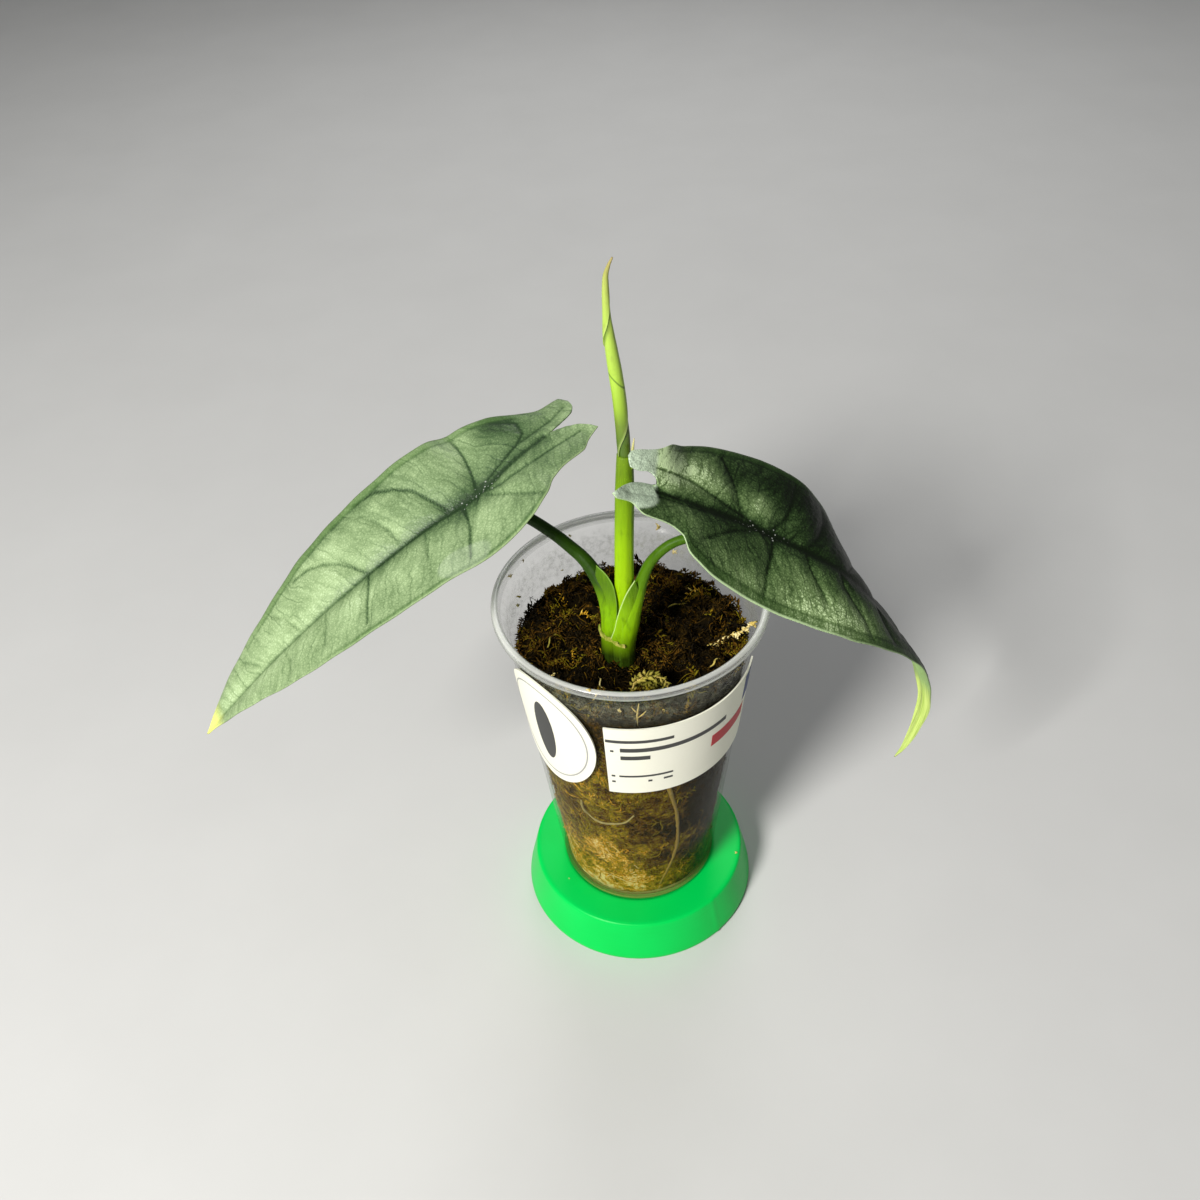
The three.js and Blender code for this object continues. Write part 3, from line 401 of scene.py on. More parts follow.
# A leaf's tables give flat places on its blade: p runs along the midrib from the stalk's joint and
# q outward of it. Side 1 is the half away from the viewer and side -1 the near one.
# axis: the midrib in space. junction: the stalk's joint. droop: p and degrees that a half hangs.
# sinus: the notch between the lobes. lobe and margin: inner and outer outline as p and q.
# veins: strength and line. level: how light the leaf is. strip: width, first and last p of the
# darker margin. pale and tones: middle p and q, reach along both, and share of a soft patch.
# The pale patches are painted sheen; the tones are painted sheen and painted shade, whose light
# share also swells the blade.
LEFT_LEAF = {
    "axis": [(-9, 26, 213), (-31.5, 10, 205.5), (-46.5, 0, 197.5), (-66, -8, 189), (-94, -17, 171),
        (-121, -23, 148), (-145.5, -26, 123)],
    "junction": (-46.5, 0, 197.5),
    "droop": {1: [(-50, -10), (-30, -20), (-10, -30), (20, -35), (60, -32), (128, -28)],
        -1: [(-50, 8), (128, 8)]},
    "sinus": (-29, -0.6),
    "lobe": {1: [(-43.2, 6.5), (-42.3, 2.8), (-39.6, 0.7), (-34, -0.1), (-29, -0.6)],
        -1: [(-42, 10.9), (-38.8, 5.9), (-34.5, 2.9), (-31.5, 1.5), (-29, 0.6)]},
    "margin": {1: [(-43.2, 6.5), (-41.4, 9.8), (-34.5, 10.4), (-28, 14), (-20, 20.5), (-10, 25.5),
            (5, 27.3), (30, 26.6), (60, 24), (80, 19), (100, 13), (115, 7.5), (128.4, 0)],
        -1: [(-42, 10.9), (-36.6, 12.8), (-32.7, 15), (-25, 15.4), (-19.3, 17), (-13.9, 20.8), (-6, 23.7),
            (10, 24.6), (30, 24), (45, 22.5), (60, 20.5), (80, 16), (100, 9), (115, 4), (128.4, 0)]},
    "veins": {1: [(1.0, [(0, 0), (-3, 8), (-5, 14), (-6, 19), (-6, 24)]), (1.0, [(10, 0), (12, 4),
            (15, 10), (17, 14), (22, 19), (28, 23), (36, 24)]), (0.45, [(29, 0), (30, 8), (32, 13),
            (36, 19)]), (0.75, [(43, 0), (46, 5), (50, 10), (55, 14), (61, 17), (68, 18)]), (0.45,
            [(73, 0), (77, 9), (82, 14)]), (0.3, [(92, 0), (97, 6), (101, 9)]), (0.7, [(0, 1), (-7, 2),
            (-14, 3), (-20, 4), (-24, 6), (-25, 11), (-20, 17)]), (0.5, [(-18, 4), (-26, 3.5), (-34, 3.5),
            (-40, 5)])],
        -1: [(0.6, [(-2, 1), (-7, 4), (-17, 6), (-28, 7), (-37, 8)]), (0.5, [(-2, 3), (-6, 9), (-10, 16),
            (-13, 20)]), (1.0, [(6, 0), (7, 7), (8, 11), (10, 16), (12, 21)]), (0.9, [(43, 0), (45, 7),
            (47, 12), (49, 18)]), (0.35, [(20, 0), (22, 8), (23, 14), (25, 20)]), (0.35, [(62, 0),
            (63, 7), (65, 13)]), (0.35, [(82, 0), (80, 7), (81, 11)])]},
    "level": 0.675,
    "strip": {1: (2.8, -30, 100),
        -1: (1.2, -20, 70)},
    "pale": {1: [],
        -1: [(14, 20.5, 8.5, 4.5, 0.35)]},
    "sheen_and_shade_tones": {1: [(-22, 15, 7, 7, -0.38), (-2, 0, 9, 5, -0.26), (26, 0, 20, 3, -0.12),
            (-18, 3, 12, 4, -0.2), (18, 9, 5, 6, -0.06), (-2, 17, 5, 6, 0.1), (60, 5, 16, 7, 0.16),
            (84, 5, 12, 7, 0.18), (50, 17, 9, 5, 0.12), (30, 6, 9, 5, 0.1), (70, 7, 3, 3, -0.12),
            (110, 2, 8, 4, 0.1), (42, 23, 30, 3.5, -0.22), (-34, 8, 8, 5, -0.14), (-19, 9, 11, 9, -0.14),
            (9, 2, 9, 3, -0.2), (0, 8, 5, 4, -0.1), (86, 8, 5, 4, -0.12), (20, 16, 10, 6, -0.05),
            (108, 3, 14, 6, 0.08), (24, 21, 14, 4, 0.1), (0, 3, 12, 8, -0.05), (54, 12, 6, 4, 0.08),
            (62, 17, 7, 4, 0.1), (-18, 17, 4, 4, -0.14)],
        -1: [(2, 1, 9, 5, -0.34), (24, 0, 20, 4, -0.24), (40, 1, 14, 5, -0.12), (42, 14, 7, 5, -0.08),
            (-8, 17, 5, 4, -0.14), (3, 11, 8, 6, 0.12), (32, 10, 8, 6, 0.1), (54, 12, 9, 7, 0.08),
            (88, 4, 14, 6, 0.1), (-26, 2, 9, 4, -0.24), (-22, 8, 10, 5, -0.1), (-34, 13, 6, 4, -0.1),
            (-36, 7, 6, 3, 0.08), (9, 4, 12, 5, -0.14), (-25, 13, 8, 5, -0.14), (20, 23, 24, 4, -0.02),
            (46, 8, 6, 5, 0.12), (90, 2, 24, 4, 0.08), (62, 8, 8, 5, 0.07), (-4, 8, 4, 4, 0.06)]},
}
RIGHT_LEAF = {
    "axis": [(-9, -23, 219.8), (22, -14, 198.7), (41.5, -10, 184.5), (68.5, -9, 165), (86, -9, 143),
        (98, -10, 123), (104, -10, 102), (101, -10, 81), (97, -10, 71.5)],
    "junction": (41.5, -10, 184.5),
    "droop": {1: [(-50, -48), (-40, -40), (-28, -22), (-10, -24), (10, -26), (25, -17), (40, -1), (55, 9),
            (70, 13), (85, 10), (138, 12)],
        -1: [(-30, 16), (10, 19), (40, 11), (55, 2), (70, -8), (85, -16), (100, -12), (138, 0)]},
    "sinus": (-42.2, 2.2),
    "lobe": {1: [(-54, 8), (-53.6, 6.5), (-52.6, 4.9), (-49.7, 4.5), (-46.3, 5.1), (-43.2, 4.1),
            (-42.2, 2.2)],
        -1: [(-58.1, 5), (-54.1, 1.5), (-49.1, -1.1), (-44.5, -2.1), (-42.2, -2.2)]},
    "margin": {1: [(-54, 8), (-53.1, 9.7), (-45, 12.3), (-42.2, 13.4), (-36.3, 16.9), (-25.7, 21.6),
            (-18.6, 23.9), (-12.3, 24.9), (0, 27), (25, 26), (40, 24.3), (55, 20.5), (70, 15), (85, 9.2),
            (100, 6.5), (115, 3.7), (128, 2), (138.4, 0)],
        -1: [(-58.1, 5), (-56.6, 6.3), (-51.9, 6), (-46.6, 9), (-37.6, 9.9), (-32.2, 12.2), (-30.2, 17),
            (-26, 19.8), (-20, 22.5), (-10, 24.6), (10, 26), (25, 25.7), (40, 24), (55, 19.5), (70, 14.5),
            (85, 9.9), (100, 6.2), (115, 3.8), (128, 2), (138.4, 0)]},
    "veins": {1: [(0.7, [(-3, 0), (-9, 3), (-10, 8), (-11, 12), (-13, 17), (-15, 21)]), (0.8, [(3, 0),
            (6, 4), (9, 8), (11, 14), (12, 19), (13, 25)]), (0.5, [(18, 0), (23, 7), (26, 16), (26, 23)]),
            (0.5, [(36, 0), (42, 8), (50, 18)]), (0.4, [(52, 0), (58, 8), (66, 14)]), (0.3, [(70, 0),
            (76, 6), (83, 9)]), (0.3, [(88, 0), (93, 4), (98, 6)]), (0.8, [(-1, 0.5), (-16, 4),
            (-29, 7.5), (-43, 7)])],
        -1: [(1.0, [(5, 0), (5, 4), (4, 9), (3, 15), (3, 23)]), (0.6, [(-2, 1), (-13, 5), (-18, 8),
            (-24, 11)]), (0.6, [(33, 0), (35, 6), (40, 10), (46, 14), (50, 19)]), (0.5, [(18, 0), (20, 6),
            (24, 11), (28, 16)]), (0.4, [(52, 0), (56, 6), (62, 13)]), (0.3, [(70, 0), (74, 5), (80, 9)]),
            (0.3, [(88, 0), (92, 4), (97, 6)]), (0.7, [(-3, 0.5), (-16, 1), (-28, 1.5), (-40, 1.5),
            (-52, 3)])]},
    # Painted shade: the right leaf's lower level darkens it like a leaf turned from the light.
    "level": 0.44,
    "strip": {1: (2.4, -40, 70),
        -1: (3.4, -34, 110)},
    "pale": {1: [(-60, 8, 16.5, 60, 0.95)],
        -1: [(-51, 2.0, 9.5, 5.6, 0.85)]},
    "sheen_and_shade_tones": {1: [(-1.5, 7.5, 6, 5.5, 0.46), (-35, 10, 12, 10, 0.6), (-14, 9, 8, 5, 0.26),
            (-19, 18, 8, 7, 0.16), (12, 9, 6, 6, 0.12), (-15, 2, 12, 1.6, -0.12), (-11, 17, 3, 6, -0.2),
            (22, 16, 12, 10, -0.26), (50, 8, 24, 16, -0.36), (4, 20, 12, 6, -0.12), (10, 20, 10, 8, -0.1),
            (-24, 9, 7, 6, 0.26), (-42, 9, 6, 9, 0.34)],
        -1: [(28, 21.5, 22, 8, 0.52), (-6, 20.5, 14, 8, 0.34), (-34, 5, 8, 6, 0.28),
            (-20, 13, 8, 6, 0.16), (44, 14, 12, 6, 0.27), (10, 9, 9, 6, 0.18), (44, 0, 26, 4, -0.32),
            (75, 3, 18, 6, -0.34), (23, 11.5, 10, 6, 0.18), (4, 6, 2.5, 7, -0.12), (-14, 2, 9, 3, -0.1),
            (2, 0, 5, 3, -0.1)]},
}
BLADE_CURL = math.radians(0.4)  # Turn across the blade for each millimetre
SINUS_REACH = 12
AXIS_STEPS, BODY_ROWS, LOBE_ROWS, COLUMNS = 4001, 250, 36, 40


class Blade:
    """A leaf blade's middle surface, from flat places p along the midrib and q outward of it."""

    def __init__(self, leaf):
        self.leaf = leaf
        self.places, self.slopes = catmull_rom(leaf["axis"], AXIS_STEPS)
        chords = np.linalg.norm(np.diff(self.places, axis=0), axis=1)
        lengths = np.concatenate([[0], np.cumsum(chords)])
        nearest = np.argmin(np.linalg.norm(self.places - np.array(leaf["junction"]), axis=1))
        self.reach = lengths - lengths[nearest]
        self.tip = self.reach[-1]
        self.up_turn = 1 if leaf["axis"][-1][0] > leaf["axis"][0][0] else -1
        self.droop = {side: smooth_table(rows) for side, rows in leaf["droop"].items()}

    def frame(self, p):
        """Place, direction across and direction up at places along the midrib."""
        p = np.clip(p, self.reach[0], self.reach[-1])

        def read(table):
            return np.stack([np.interp(p, self.reach, column) for column in table.T], -1)

        along = unit(read(self.slopes))
        across = unit(np.array([0.0, 1.0, 0.0]) - along * along[..., 1:2])
        return read(self.places), across, np.cross(along, across) * self.up_turn

    def point(self, p, q, side, lift):
        """Places in space of flat places p and q, lifted off the middle surface."""
        origin, across, up = self.frame(p)
        droop = np.radians(self.droop[side](p))
        angle = droop + BLADE_CURL * q
        out = (np.sin(angle) - np.sin(droop)) / BLADE_CURL + lift * np.sin(angle)
        fall = (np.cos(angle) - np.cos(droop)) / BLADE_CURL + lift * np.cos(angle)
        return origin + across * (side * out)[..., None] + up * fall[..., None]

    def stations(self, side):
        """Rows of p with the inner and outer q of this half, from the tip to the lobe's end."""
        outer_at = smooth_table(self.leaf["margin"][side])
        inner_at = smooth_table(self.leaf["lobe"][side])
        sinus_p, sinus_q = self.leaf["sinus"]
        lobe_p = self.leaf["lobe"][side][0][0]
        body = self.tip + (sinus_p - self.tip) * np.linspace(0, 1, BODY_ROWS + 1)
        to_sinus = np.maximum(0, 1 - (body - sinus_p) / SINUS_REACH)
        outer = outer_at(body)
        outer[0] = 0
        share = np.arange(1, LOBE_ROWS + 1) / LOBE_ROWS
        lobe = sinus_p + (lobe_p - sinus_p) * np.sin(share * math.pi / 2)
        lobe_outer = outer_at(lobe)
        lobe_outer[-1] = inner_at(lobe[-1])
        p = np.concatenate([body, lobe])
        inner = np.concatenate([side * sinus_q * to_sinus**2, inner_at(lobe)])
        return p, inner, np.concatenate([outer, lobe_outer])


def line_distance(p, q, line):
    """Distance in the flat blade from each p, q to a line of places."""
    best = np.full(p.shape, 99.0)
    for (ap, aq), (bp, bq) in zip(line, line[1:]):
        dp, dq = bp - ap, bq - aq
        t = np.clip(((p - ap) * dp + (q - aq) * dq) / (dp * dp + dq * dq), 0, 1)
        best = np.minimum(best, np.hypot(p - ap - t * dp, q - aq - t * dq))
    return best


def blade_relief(leaf, p, q, side, outer, tip):
    """Top lift, thickness, underside ribs, vein line and vein haze at flat places of a half."""
    q = np.abs(q)
    edge = np.clip(q / np.maximum(outer, 1), 0, 1)
    rib_share = np.clip(1 - np.abs(p) / tip, 0, 1)
    line = (0.35 + 0.65 * rib_share) * np.exp(-(q / (0.45 + 0.7 * rib_share)) ** 2)
    haze = rib_share * np.exp(-((q / 3.4) ** 2))
    ribs = rib_share * np.exp(-((q / 1.3) ** 2))
    body = p > leaf["sinus"][0]
    line, haze, ribs = (np.where(body, value, 0) for value in (line, haze, ribs))
    nearest = np.where(body, q, 9.0)
    for strength, vein in leaf["veins"][side]:
        away = line_distance(p, q, vein)
        nearest = np.minimum(nearest, away + 2.0 * (1 - strength))
        line = np.maximum(line, strength * np.exp(-((away / 0.45) ** 2)))
        haze = np.maximum(haze, strength * np.exp(-((away / 2.2) ** 2)))
        ribs = np.maximum(ribs, 0.4 * strength * np.exp(-((away / 0.6) ** 2)))
    swell = 1 - np.exp(-((nearest / 3.2) ** 2))
    quilt = 0.75 * swell * (1 - edge**4) + 0.12 * edge**3 * np.sin(0.42 * p)
    pucker = 0.10 * np.sin(p * 1.31 + 2 * np.sin(q * 0.9)) * np.sin(q * 1.17 + 1.5 * np.sin(p * 0.7))
    lift = quilt + pucker * swell * (1 - edge**6) - 0.22 * line
    # The tones are painted sheen and painted shade on the blade.
    tone = sum(share * np.exp(-(((p - at_p) / over_p) ** 2) - ((q - at_q) / over_q) ** 2)
               for at_p, at_q, over_p, over_q, share in leaf["sheen_and_shade_tones"][side])
    lift = lift + 1.2 * np.clip(tone, 0, 0.5) * (1 - edge**4)
    width, strip_from, strip_to = leaf["strip"][side]
    inset = outer - q
    within = np.clip((p - strip_from) / 8, 0, 1) * np.clip((strip_to - p) / 15, 0, 1)
    strip = within * np.clip((width - inset) / 0.8 + 0.5, 0, 1)
    line = np.maximum(line, 0.5 * within * np.exp(-(((inset - width) / 0.5) ** 2)))
    # Painted sheen: the pale patches mark where the blade is lightened towards the sheen colour.
    pale = np.zeros(p.shape)
    for at_p, at_q, over_p, over_q, share in leaf["pale"][side]:
        reach = np.hypot((p - at_p) / over_p, (q - at_q) / over_q)
        pale = np.maximum(pale, share * np.clip((1.05 - reach) / 0.1, 0, 1))
    looks = {"vein": line, "rim": edge, "strip": strip, "pale": pale,
             "tone": leaf["level"] + tone - 0.05 * haze}
    return lift, 0.30 + 0.34 * (1 - edge**2), ribs, looks


UNEDGED = 1e6  # Half width used along the midrib, so that no edge is near it


def leaf_piece(name, leaf, paints):
    """One blade as a thin closed sheet, whose halves share the midrib's corners."""
    blade = Blade(leaf)
    sheet = Sheet()
    index = {}
    top, low = [], []
    values = {key: [] for key in ("flat", "vein", "rim", "strip", "pale", "tone")}
    count = 0
    for side in (1, -1):
        p, inner, outer = blade.stations(side)
        share = np.linspace(0, 1, COLUMNS + 1)
        grid_q = inner[:, None] + (outer - inner)[:, None] * share
        grid_p = np.broadcast_to(p[:, None], grid_q.shape)
        wide = np.broadcast_to(outer[:, None], grid_q.shape).copy()
        wide[: BODY_ROWS + 1, 0] = UNEDGED
        lift, thick, ribs, looks = blade_relief(leaf, grid_p, grid_q, side, wide, blade.tip)
        faces = {}
        for key, height in (("top", lift + thick / 2), ("low", lift - thick / 2 - ribs)):
            here = blade.point(grid_p, grid_q, side, height)
            there = blade.point(grid_p, -grid_q, -side, height)
            shared = np.zeros(grid_q.shape, bool)
            shared[: BODY_ROWS + 1, 0] = True
            shared[0, :] = True
            faces[key] = np.where(shared[..., None], (here + there) / 2, here)
        numbers = np.arange(grid_q.size).reshape(grid_q.shape) + count
        index[side] = numbers
        count += grid_q.size
        top.append(faces["top"].reshape(-1, 3))
        low.append(faces["low"].reshape(-1, 3))
        looks["flat"] = np.stack([grid_p, side * grid_q, np.full(grid_q.shape, float(side))], -1)
        looks["rim"] = np.where(shared, 0, looks["rim"])
        for key, kept in values.items():
            kept.append(looks[key].reshape(grid_q.size, -1))
    index[-1][: BODY_ROWS + 1, 0] = index[1][: BODY_ROWS + 1, 0]
    points = np.concatenate(top + low)
    upper, lower = [], []
    for side, n in index.items():
        quads = np.stack([n[:-1, :-1], n[:-1, 1:], n[1:, 1:], n[1:, :-1]], -1).reshape(-1, 4)
        walls = np.stack([n[:-1, -1], n[:-1, -1] + count, n[1:, -1] + count, n[1:, -1]], -1)
        split = n[BODY_ROWS:, 0]
        inner = np.stack([split[:-1] + count, split[:-1], split[1:], split[1:] + count], -1)
        rim = np.concatenate([walls, inner])
        if side < 0:
            quads, rim = quads[:, ::-1], rim[:, ::-1]
        upper.extend(quads.tolist() + rim.tolist())
        lower.extend((quads[:, ::-1] + count).tolist())
    sheet.points.append(points)
    sheet.faces = upper + lower
    sheet.marks = [0] * len(upper) + [1] * len(lower)
    sheet.values = {key: kept + kept for key, kept in values.items()}
    made = piece(name, sheet, paints, (name.replace("_blade", ""),), weld=0.0004)
    bm = bmesh.new()
    bm.from_mesh(made.data)
    bmesh.ops.delete(bm, geom=[v for v in bm.verts if not v.link_faces], context="VERTS")
    bmesh.ops.recalc_face_normals(bm, faces=bm.faces)
    bm.to_mesh(made.data)
    bm.free()
    return made


def leaf_paint(name, stops, lush, sheen_colour, edge_line, edge_share, tip_stops, tip_span, fine):
    """Silvery green blade: its level of light and dark, which holds the painted sheen and painted
    shade of the tones, sets the colour, veins and net darken it, and the pale patches add painted sheen.
    """
    paint = Paint(name, roughness=0.45, specular=0.22)
    flat = paint.attribute("flat", "Vector")
    vein = paint.attribute("vein")
    rim = paint.attribute("rim")
    along, across = paint.axis(flat, "X"), paint.axis(flat, "Y")
    away = paint.absolute(across)
    cloud = paint.noise(flat, 0.12, 3.0, 0.5, 0.4)
    sweep = paint.minus(along, paint.times(away, 0.55))
    sweep = paint.plus(sweep, paint.times(paint.noise(flat, 0.10, 3.0), 9.0))
    fan = paint.node("ShaderNodeCombineXYZ", {0: sweep, 1: paint.times(across, 0.16)}).outputs[0]
    streak = paint.noise(fan, 0.42, 4.0, 0.62)
    veinlet = paint.math("PINGPONG", paint.times(sweep, 0.19), 0.5)
    veinlet = paint.span(veinlet, 0.0, 0.10, 1.0, 0.0)
    veinlet = paint.times(veinlet, paint.span(cloud, 0.35, 0.62, 0.1, 1.0))
    warp = paint.node("ShaderNodeTexNoise", {"Vector": flat, "Scale": 0.4, "Detail": 3.0}).outputs["Color"]
    bent = paint.node("ShaderNodeMix", {0: 0.2, 4: flat, 5: warp}, data_type="VECTOR").outputs[1]
    net = paint.cells(paint.stretch(bent, (1.25, 1.4, 1)), 1.0)
    loops = paint.cells(paint.stretch(bent, (0.24, 0.3, 1)), 1.0)
    grain = paint.noise(flat, 1.9, 2.0, 0.6)
    # The tone attribute brings the painted sheen and painted shade of the tones.
    level = paint.attribute("tone")
    changes = [
        paint.span(cloud, 0.3, 0.7, -0.05, 0.05),
        paint.span(streak, 0.3, 0.7, -0.10 * fine, 0.10 * fine),
        paint.span(net, 0.0, 0.34, -0.13 * fine, 0.05 * fine),
        paint.span(grain, 0.3, 0.7, -0.06 * fine, 0.06 * fine),
        paint.times(veinlet, -0.15),
        paint.span(loops, 0.0, 0.07, -0.12 * fine**2, 0.0),
        paint.times(vein, -0.50)]
    for change in changes:
        level = paint.plus(level, change)
    colour = paint.ramp(level, stops)
    colour = paint.mix(paint.times(paint.attribute("strip"), 0.42), colour, lush)
    # Painted sheen: the pale patches mix in the light sheen colour.
    pale = paint.times(paint.attribute("pale"), paint.span(streak, 0.3, 0.7, 0.75, 1.0))
    colour = paint.mix(pale, colour, paint.mix(paint.span(grain, 0.35, 0.65), *sheen_colour))
    tip_line = paint.streaks(flat, (0.08, 1.2, 1), 3.0)
    colour = paint.mix(paint.span(along, *tip_span), colour, paint.ramp(tip_line, tip_stops))
    near = paint.times(paint.span(across, 1.0, -1.0), paint.span(along, 60.0, 0.0, 0.35, 1.0))
    edge = paint.times(paint.span(rim, 0.965, 0.99), paint.larger(near, 0.12))
    colour = paint.mix(paint.times(edge, edge_share), colour, edge_line)
    dust = paint.cells(flat, 0.7, "F1")
    dusty = paint.times(paint.span(dust, 0.12, 0.26, 0.5, 0.0), paint.span(vein, 0.15, 0.5))
    from_joint = paint.plus(paint.absolute(along), away)
    dusty = paint.times(dusty, paint.span(from_joint, 14.0, 4.0))
    colour = paint.mix(dusty, colour, (0.75, 0.78, 0.72))
    normal = paint.bump(paint.span(net, 0.0, 0.3), 0.10, 0.4)
    normal = paint.bump(streak, 0.35, 0.35, normal)
    normal = paint.bump(veinlet, -0.12, 0.4, normal)
    return paint.finish(colour, normal, paint.span(cloud, 0.2, 0.8, 0.38, 0.52))


def underside_paint():
    """Plain green underside with paler veins and the same yellow tip."""
    paint = Paint("leaf_underside", roughness=0.5, specular=0.35)
    flat = paint.attribute("flat", "Vector")
    net = paint.cells(paint.stretch(flat, (0.5, 0.6, 1)), 1.0)
    lines = paint.streaks(flat, (0.06, 1.3, 0.2), 3.0)
    colour = paint.mix(paint.span(net, 0.0, 0.15, 0.5, 0.0), (0.30, 0.44, 0.17), (0.17, 0.29, 0.08))
    colour = paint.mix(paint.times(paint.attribute("vein"), 0.8), colour, (0.46, 0.58, 0.25))
    colour = paint.mix(paint.noise(flat, 0.2), colour, (0.26, 0.40, 0.14))
    tip = paint.mix(paint.span(lines, 0.4, 0.65), (0.60, 0.74, 0.20), (0.38, 0.53, 0.10))
    colour = paint.mix(paint.span(paint.axis(flat, "X"), 92.0, 104.0), colour, tip)
    return paint.finish(colour, paint.bump(net, 0.2, 0.4))


underside = underside_paint()
left_top = leaf_paint(
    "leaf_left_top",
    [(0.0, (0.018, 0.040, 0.014)), (0.25, (0.060, 0.108, 0.042)), (0.5, (0.150, 0.225, 0.100)),
     (0.7, (0.265, 0.365, 0.180)), (0.85, (0.37, 0.49, 0.26)), (1.0, (0.52, 0.64, 0.40))],
    lush=(0.085, 0.175, 0.040), sheen_colour=((0.34, 0.42, 0.29), (0.46, 0.54, 0.40)),
    edge_line=(0.36, 0.46, 0.22), edge_share=0.45,
    tip_stops=[(0.3, (0.55, 0.62, 0.16)), (0.6, (0.78, 0.80, 0.20))], tip_span=(116, 124), fine=0.72)
# Painted shade: the right leaf's paint is a darker copy of the left leaf's, for a leaf turned from the
# light.
right_shaded_top = leaf_paint(
    "leaf_right_shaded_top",
    [(0.0, (0.003, 0.008, 0.001)), (0.25, (0.012, 0.029, 0.006)), (0.5, (0.055, 0.100, 0.030)),
     (0.7, (0.125, 0.195, 0.070)), (0.85, (0.23, 0.33, 0.14)), (1.0, (0.58, 0.74, 0.40))],
    lush=(0.022, 0.060, 0.008), sheen_colour=((0.46, 0.57, 0.42), (0.70, 0.84, 0.64)),
    edge_line=(0.42, 0.56, 0.30), edge_share=0.9,
    tip_stops=[(0.3, (0.40, 0.50, 0.13)), (0.6, (0.64, 0.72, 0.25))], tip_span=(98, 106), fine=1.0)
leaf_piece("leaf_left_blade", LEFT_LEAF, [left_top, underside])
leaf_piece("leaf_right_blade", RIGHT_LEAF, [right_shaded_top, underside])

# Stalks

# Rows of stalks are x, y, z and half widths in the bend and across it.
STALK = [(-4.3, -11, 114.3, 2.9), (-4.5, -11, 134, 3), (-3.4, -11, 150, 3.1),
         (-2.2, -11, 165, 3.1), (-1.6, -11, 184, 3.05), (-1, -11, 200, 3),
         (-0.6, -11, 211, 2.75), (-0.4, -11, 217.5, 2.45)]
STALK_TIP = [(1.5, -12.3, 213.5, 0.7), (1.9, -12.3, 219.5, 0.5), (2.5, -12.2, 224, 0.15)]
FURLED_LEAF = [(-0.7, -11, 207, 1.2), (-0.6, -11, 212, 1.6), (-0.5, -11, 218, 1.9),
               (-0.6, -11, 224.4, 2.05), (-1, -11, 231, 2), (-1.5, -11, 238, 1.95),
               (-2.3, -11, 246, 1.95), (-3.1, -11, 253, 1.85), (-3.6, -11, 258.5, 1.6),
               (-3.9, -11, 264, 1.2), (-4, -11, 270.5, 1), (-3.9, -11, 275, 0.8),
               (-3, -11, 278.5, 0.5), (-1.8, -11, 281, 0.25)]
LEFT_PETIOLE = [(-6.7, -11, 114.3, 3.9, 4.3), (-6.8, -10.8, 128, 3.9, 4.5),
                (-6.8, -10.4, 140, 3.85, 4.6), (-6.5, -9.8, 150, 3.75, 4.3),
                (-7.2, -8.3, 156.5, 3.4, 3.7), (-8.8, -6.6, 161.7, 3, 3.1),
                (-10.9, -4.6, 165.3, 2.6, 2.6), (-14.1, -2, 169.6, 2.3, 2.3),
                (-17.7, 0, 172.9, 2.15, 2.15), (-24, 1, 179.4, 2, 2), (-31, 1, 186, 1.9, 1.9),
                (-38.5, 0.6, 191.4, 1.8, 1.8), (-46.2, 0.2, 197, 1.7, 1.7)]
RIGHT_PETIOLE = [(-3.6, -12, 114.3, 3.9, 3.8), (-3.5, -12.2, 128, 4.1, 4.3),
                 (-3.3, -12.5, 140, 4.2, 4.5), (-2.1, -12.7, 150, 4.4, 4.4),
                 (-0.2, -12.2, 157.5, 3.7, 3.8), (2.1, -11.5, 163.5, 2.7, 2.9),
                 (4, -11, 168.5, 2, 2.1), (6.2, -10.6, 174, 1.75, 1.8),
                 (9.3, -10.4, 178.2, 1.65, 1.7), (13.8, -10.1, 181.7, 1.6, 1.6),
                 (19, -10, 183.5, 1.55, 1.6), (26, -10, 184.7, 1.55, 1.6),
                 (34, -10, 185, 1.6, 1.6), (41.2, -10, 184.6, 1.6, 1.6)]
# Rows of sheaths are the free edge's place and the place where the sheath joins the stalk.
LEFT_SHEATH = [(-5.2, -14, 152, -8, -11, 149), (-4.8, -14.6, 160, -9, -9.5, 155),
               (-5.4, -13.2, 166.4, -9.6, -8.2, 160), (-7.6, -10.4, 170.2, -10.2, -7.4, 164),
               (-10.8, -7.6, 172.3, -11.3, -7, 168.2)]
RIGHT_SHEATH = [(-7.3, -15.2, 146.6, -4, -15.6, 142), (-6, -16, 151.5, -2.5, -16, 147),
                (-4.9, -16.2, 157, -1.2, -15.8, 151), (-3.6, -15.9, 161.2, 0, -15.2, 156),
                (-1.3, -15.2, 166.7, 1.6, -14, 161), (1.3, -13.4, 169.9, 2.8, -12.8, 165.2)]


def add_sheath(sheet, rows, sections=60, columns=10, mark=0):
    """A sheath's thin margin from its free edge down to the line where it joins the stalk."""
    fine = resample(rows, sections)
    edge, root = fine[:, :3], fine[:, 3:]
    inward = unit(root - edge)
    face = unit(np.array([0.0, -1.0, 0.0]) + inward * inward[:, 1:2])
    share = np.linspace(0, 1, columns)
    middle = edge[:, None] + (root - edge)[:, None] * share[:, None]
    middle = middle + face[:, None] * (0.35 * np.sin(share * math.pi))[:, None]
    half = (0.16 + 0.45 * share)[:, None]
    front = middle + face[:, None] * half
    back = (middle - face[:, None] * half)[:, ::-1]
    ring = np.concatenate([front, back], 1)
    sides = 2 * columns
    sheet.values.setdefault("inset", []).append(np.ones(sheet.count))
    inset = np.broadcast_to(np.concatenate([share, share[::-1]]), (sections, sides))
    sheet.add(ring, tube_faces(sections, sides), mark, inset=inset.reshape(-1, 1))


# Painted shadow: the slanted line is dark where another margin of the roll overlaps.
SLANT_LEVEL = 241.4  # Height of the furled leaf's dark slanted line where it crosses x = 0


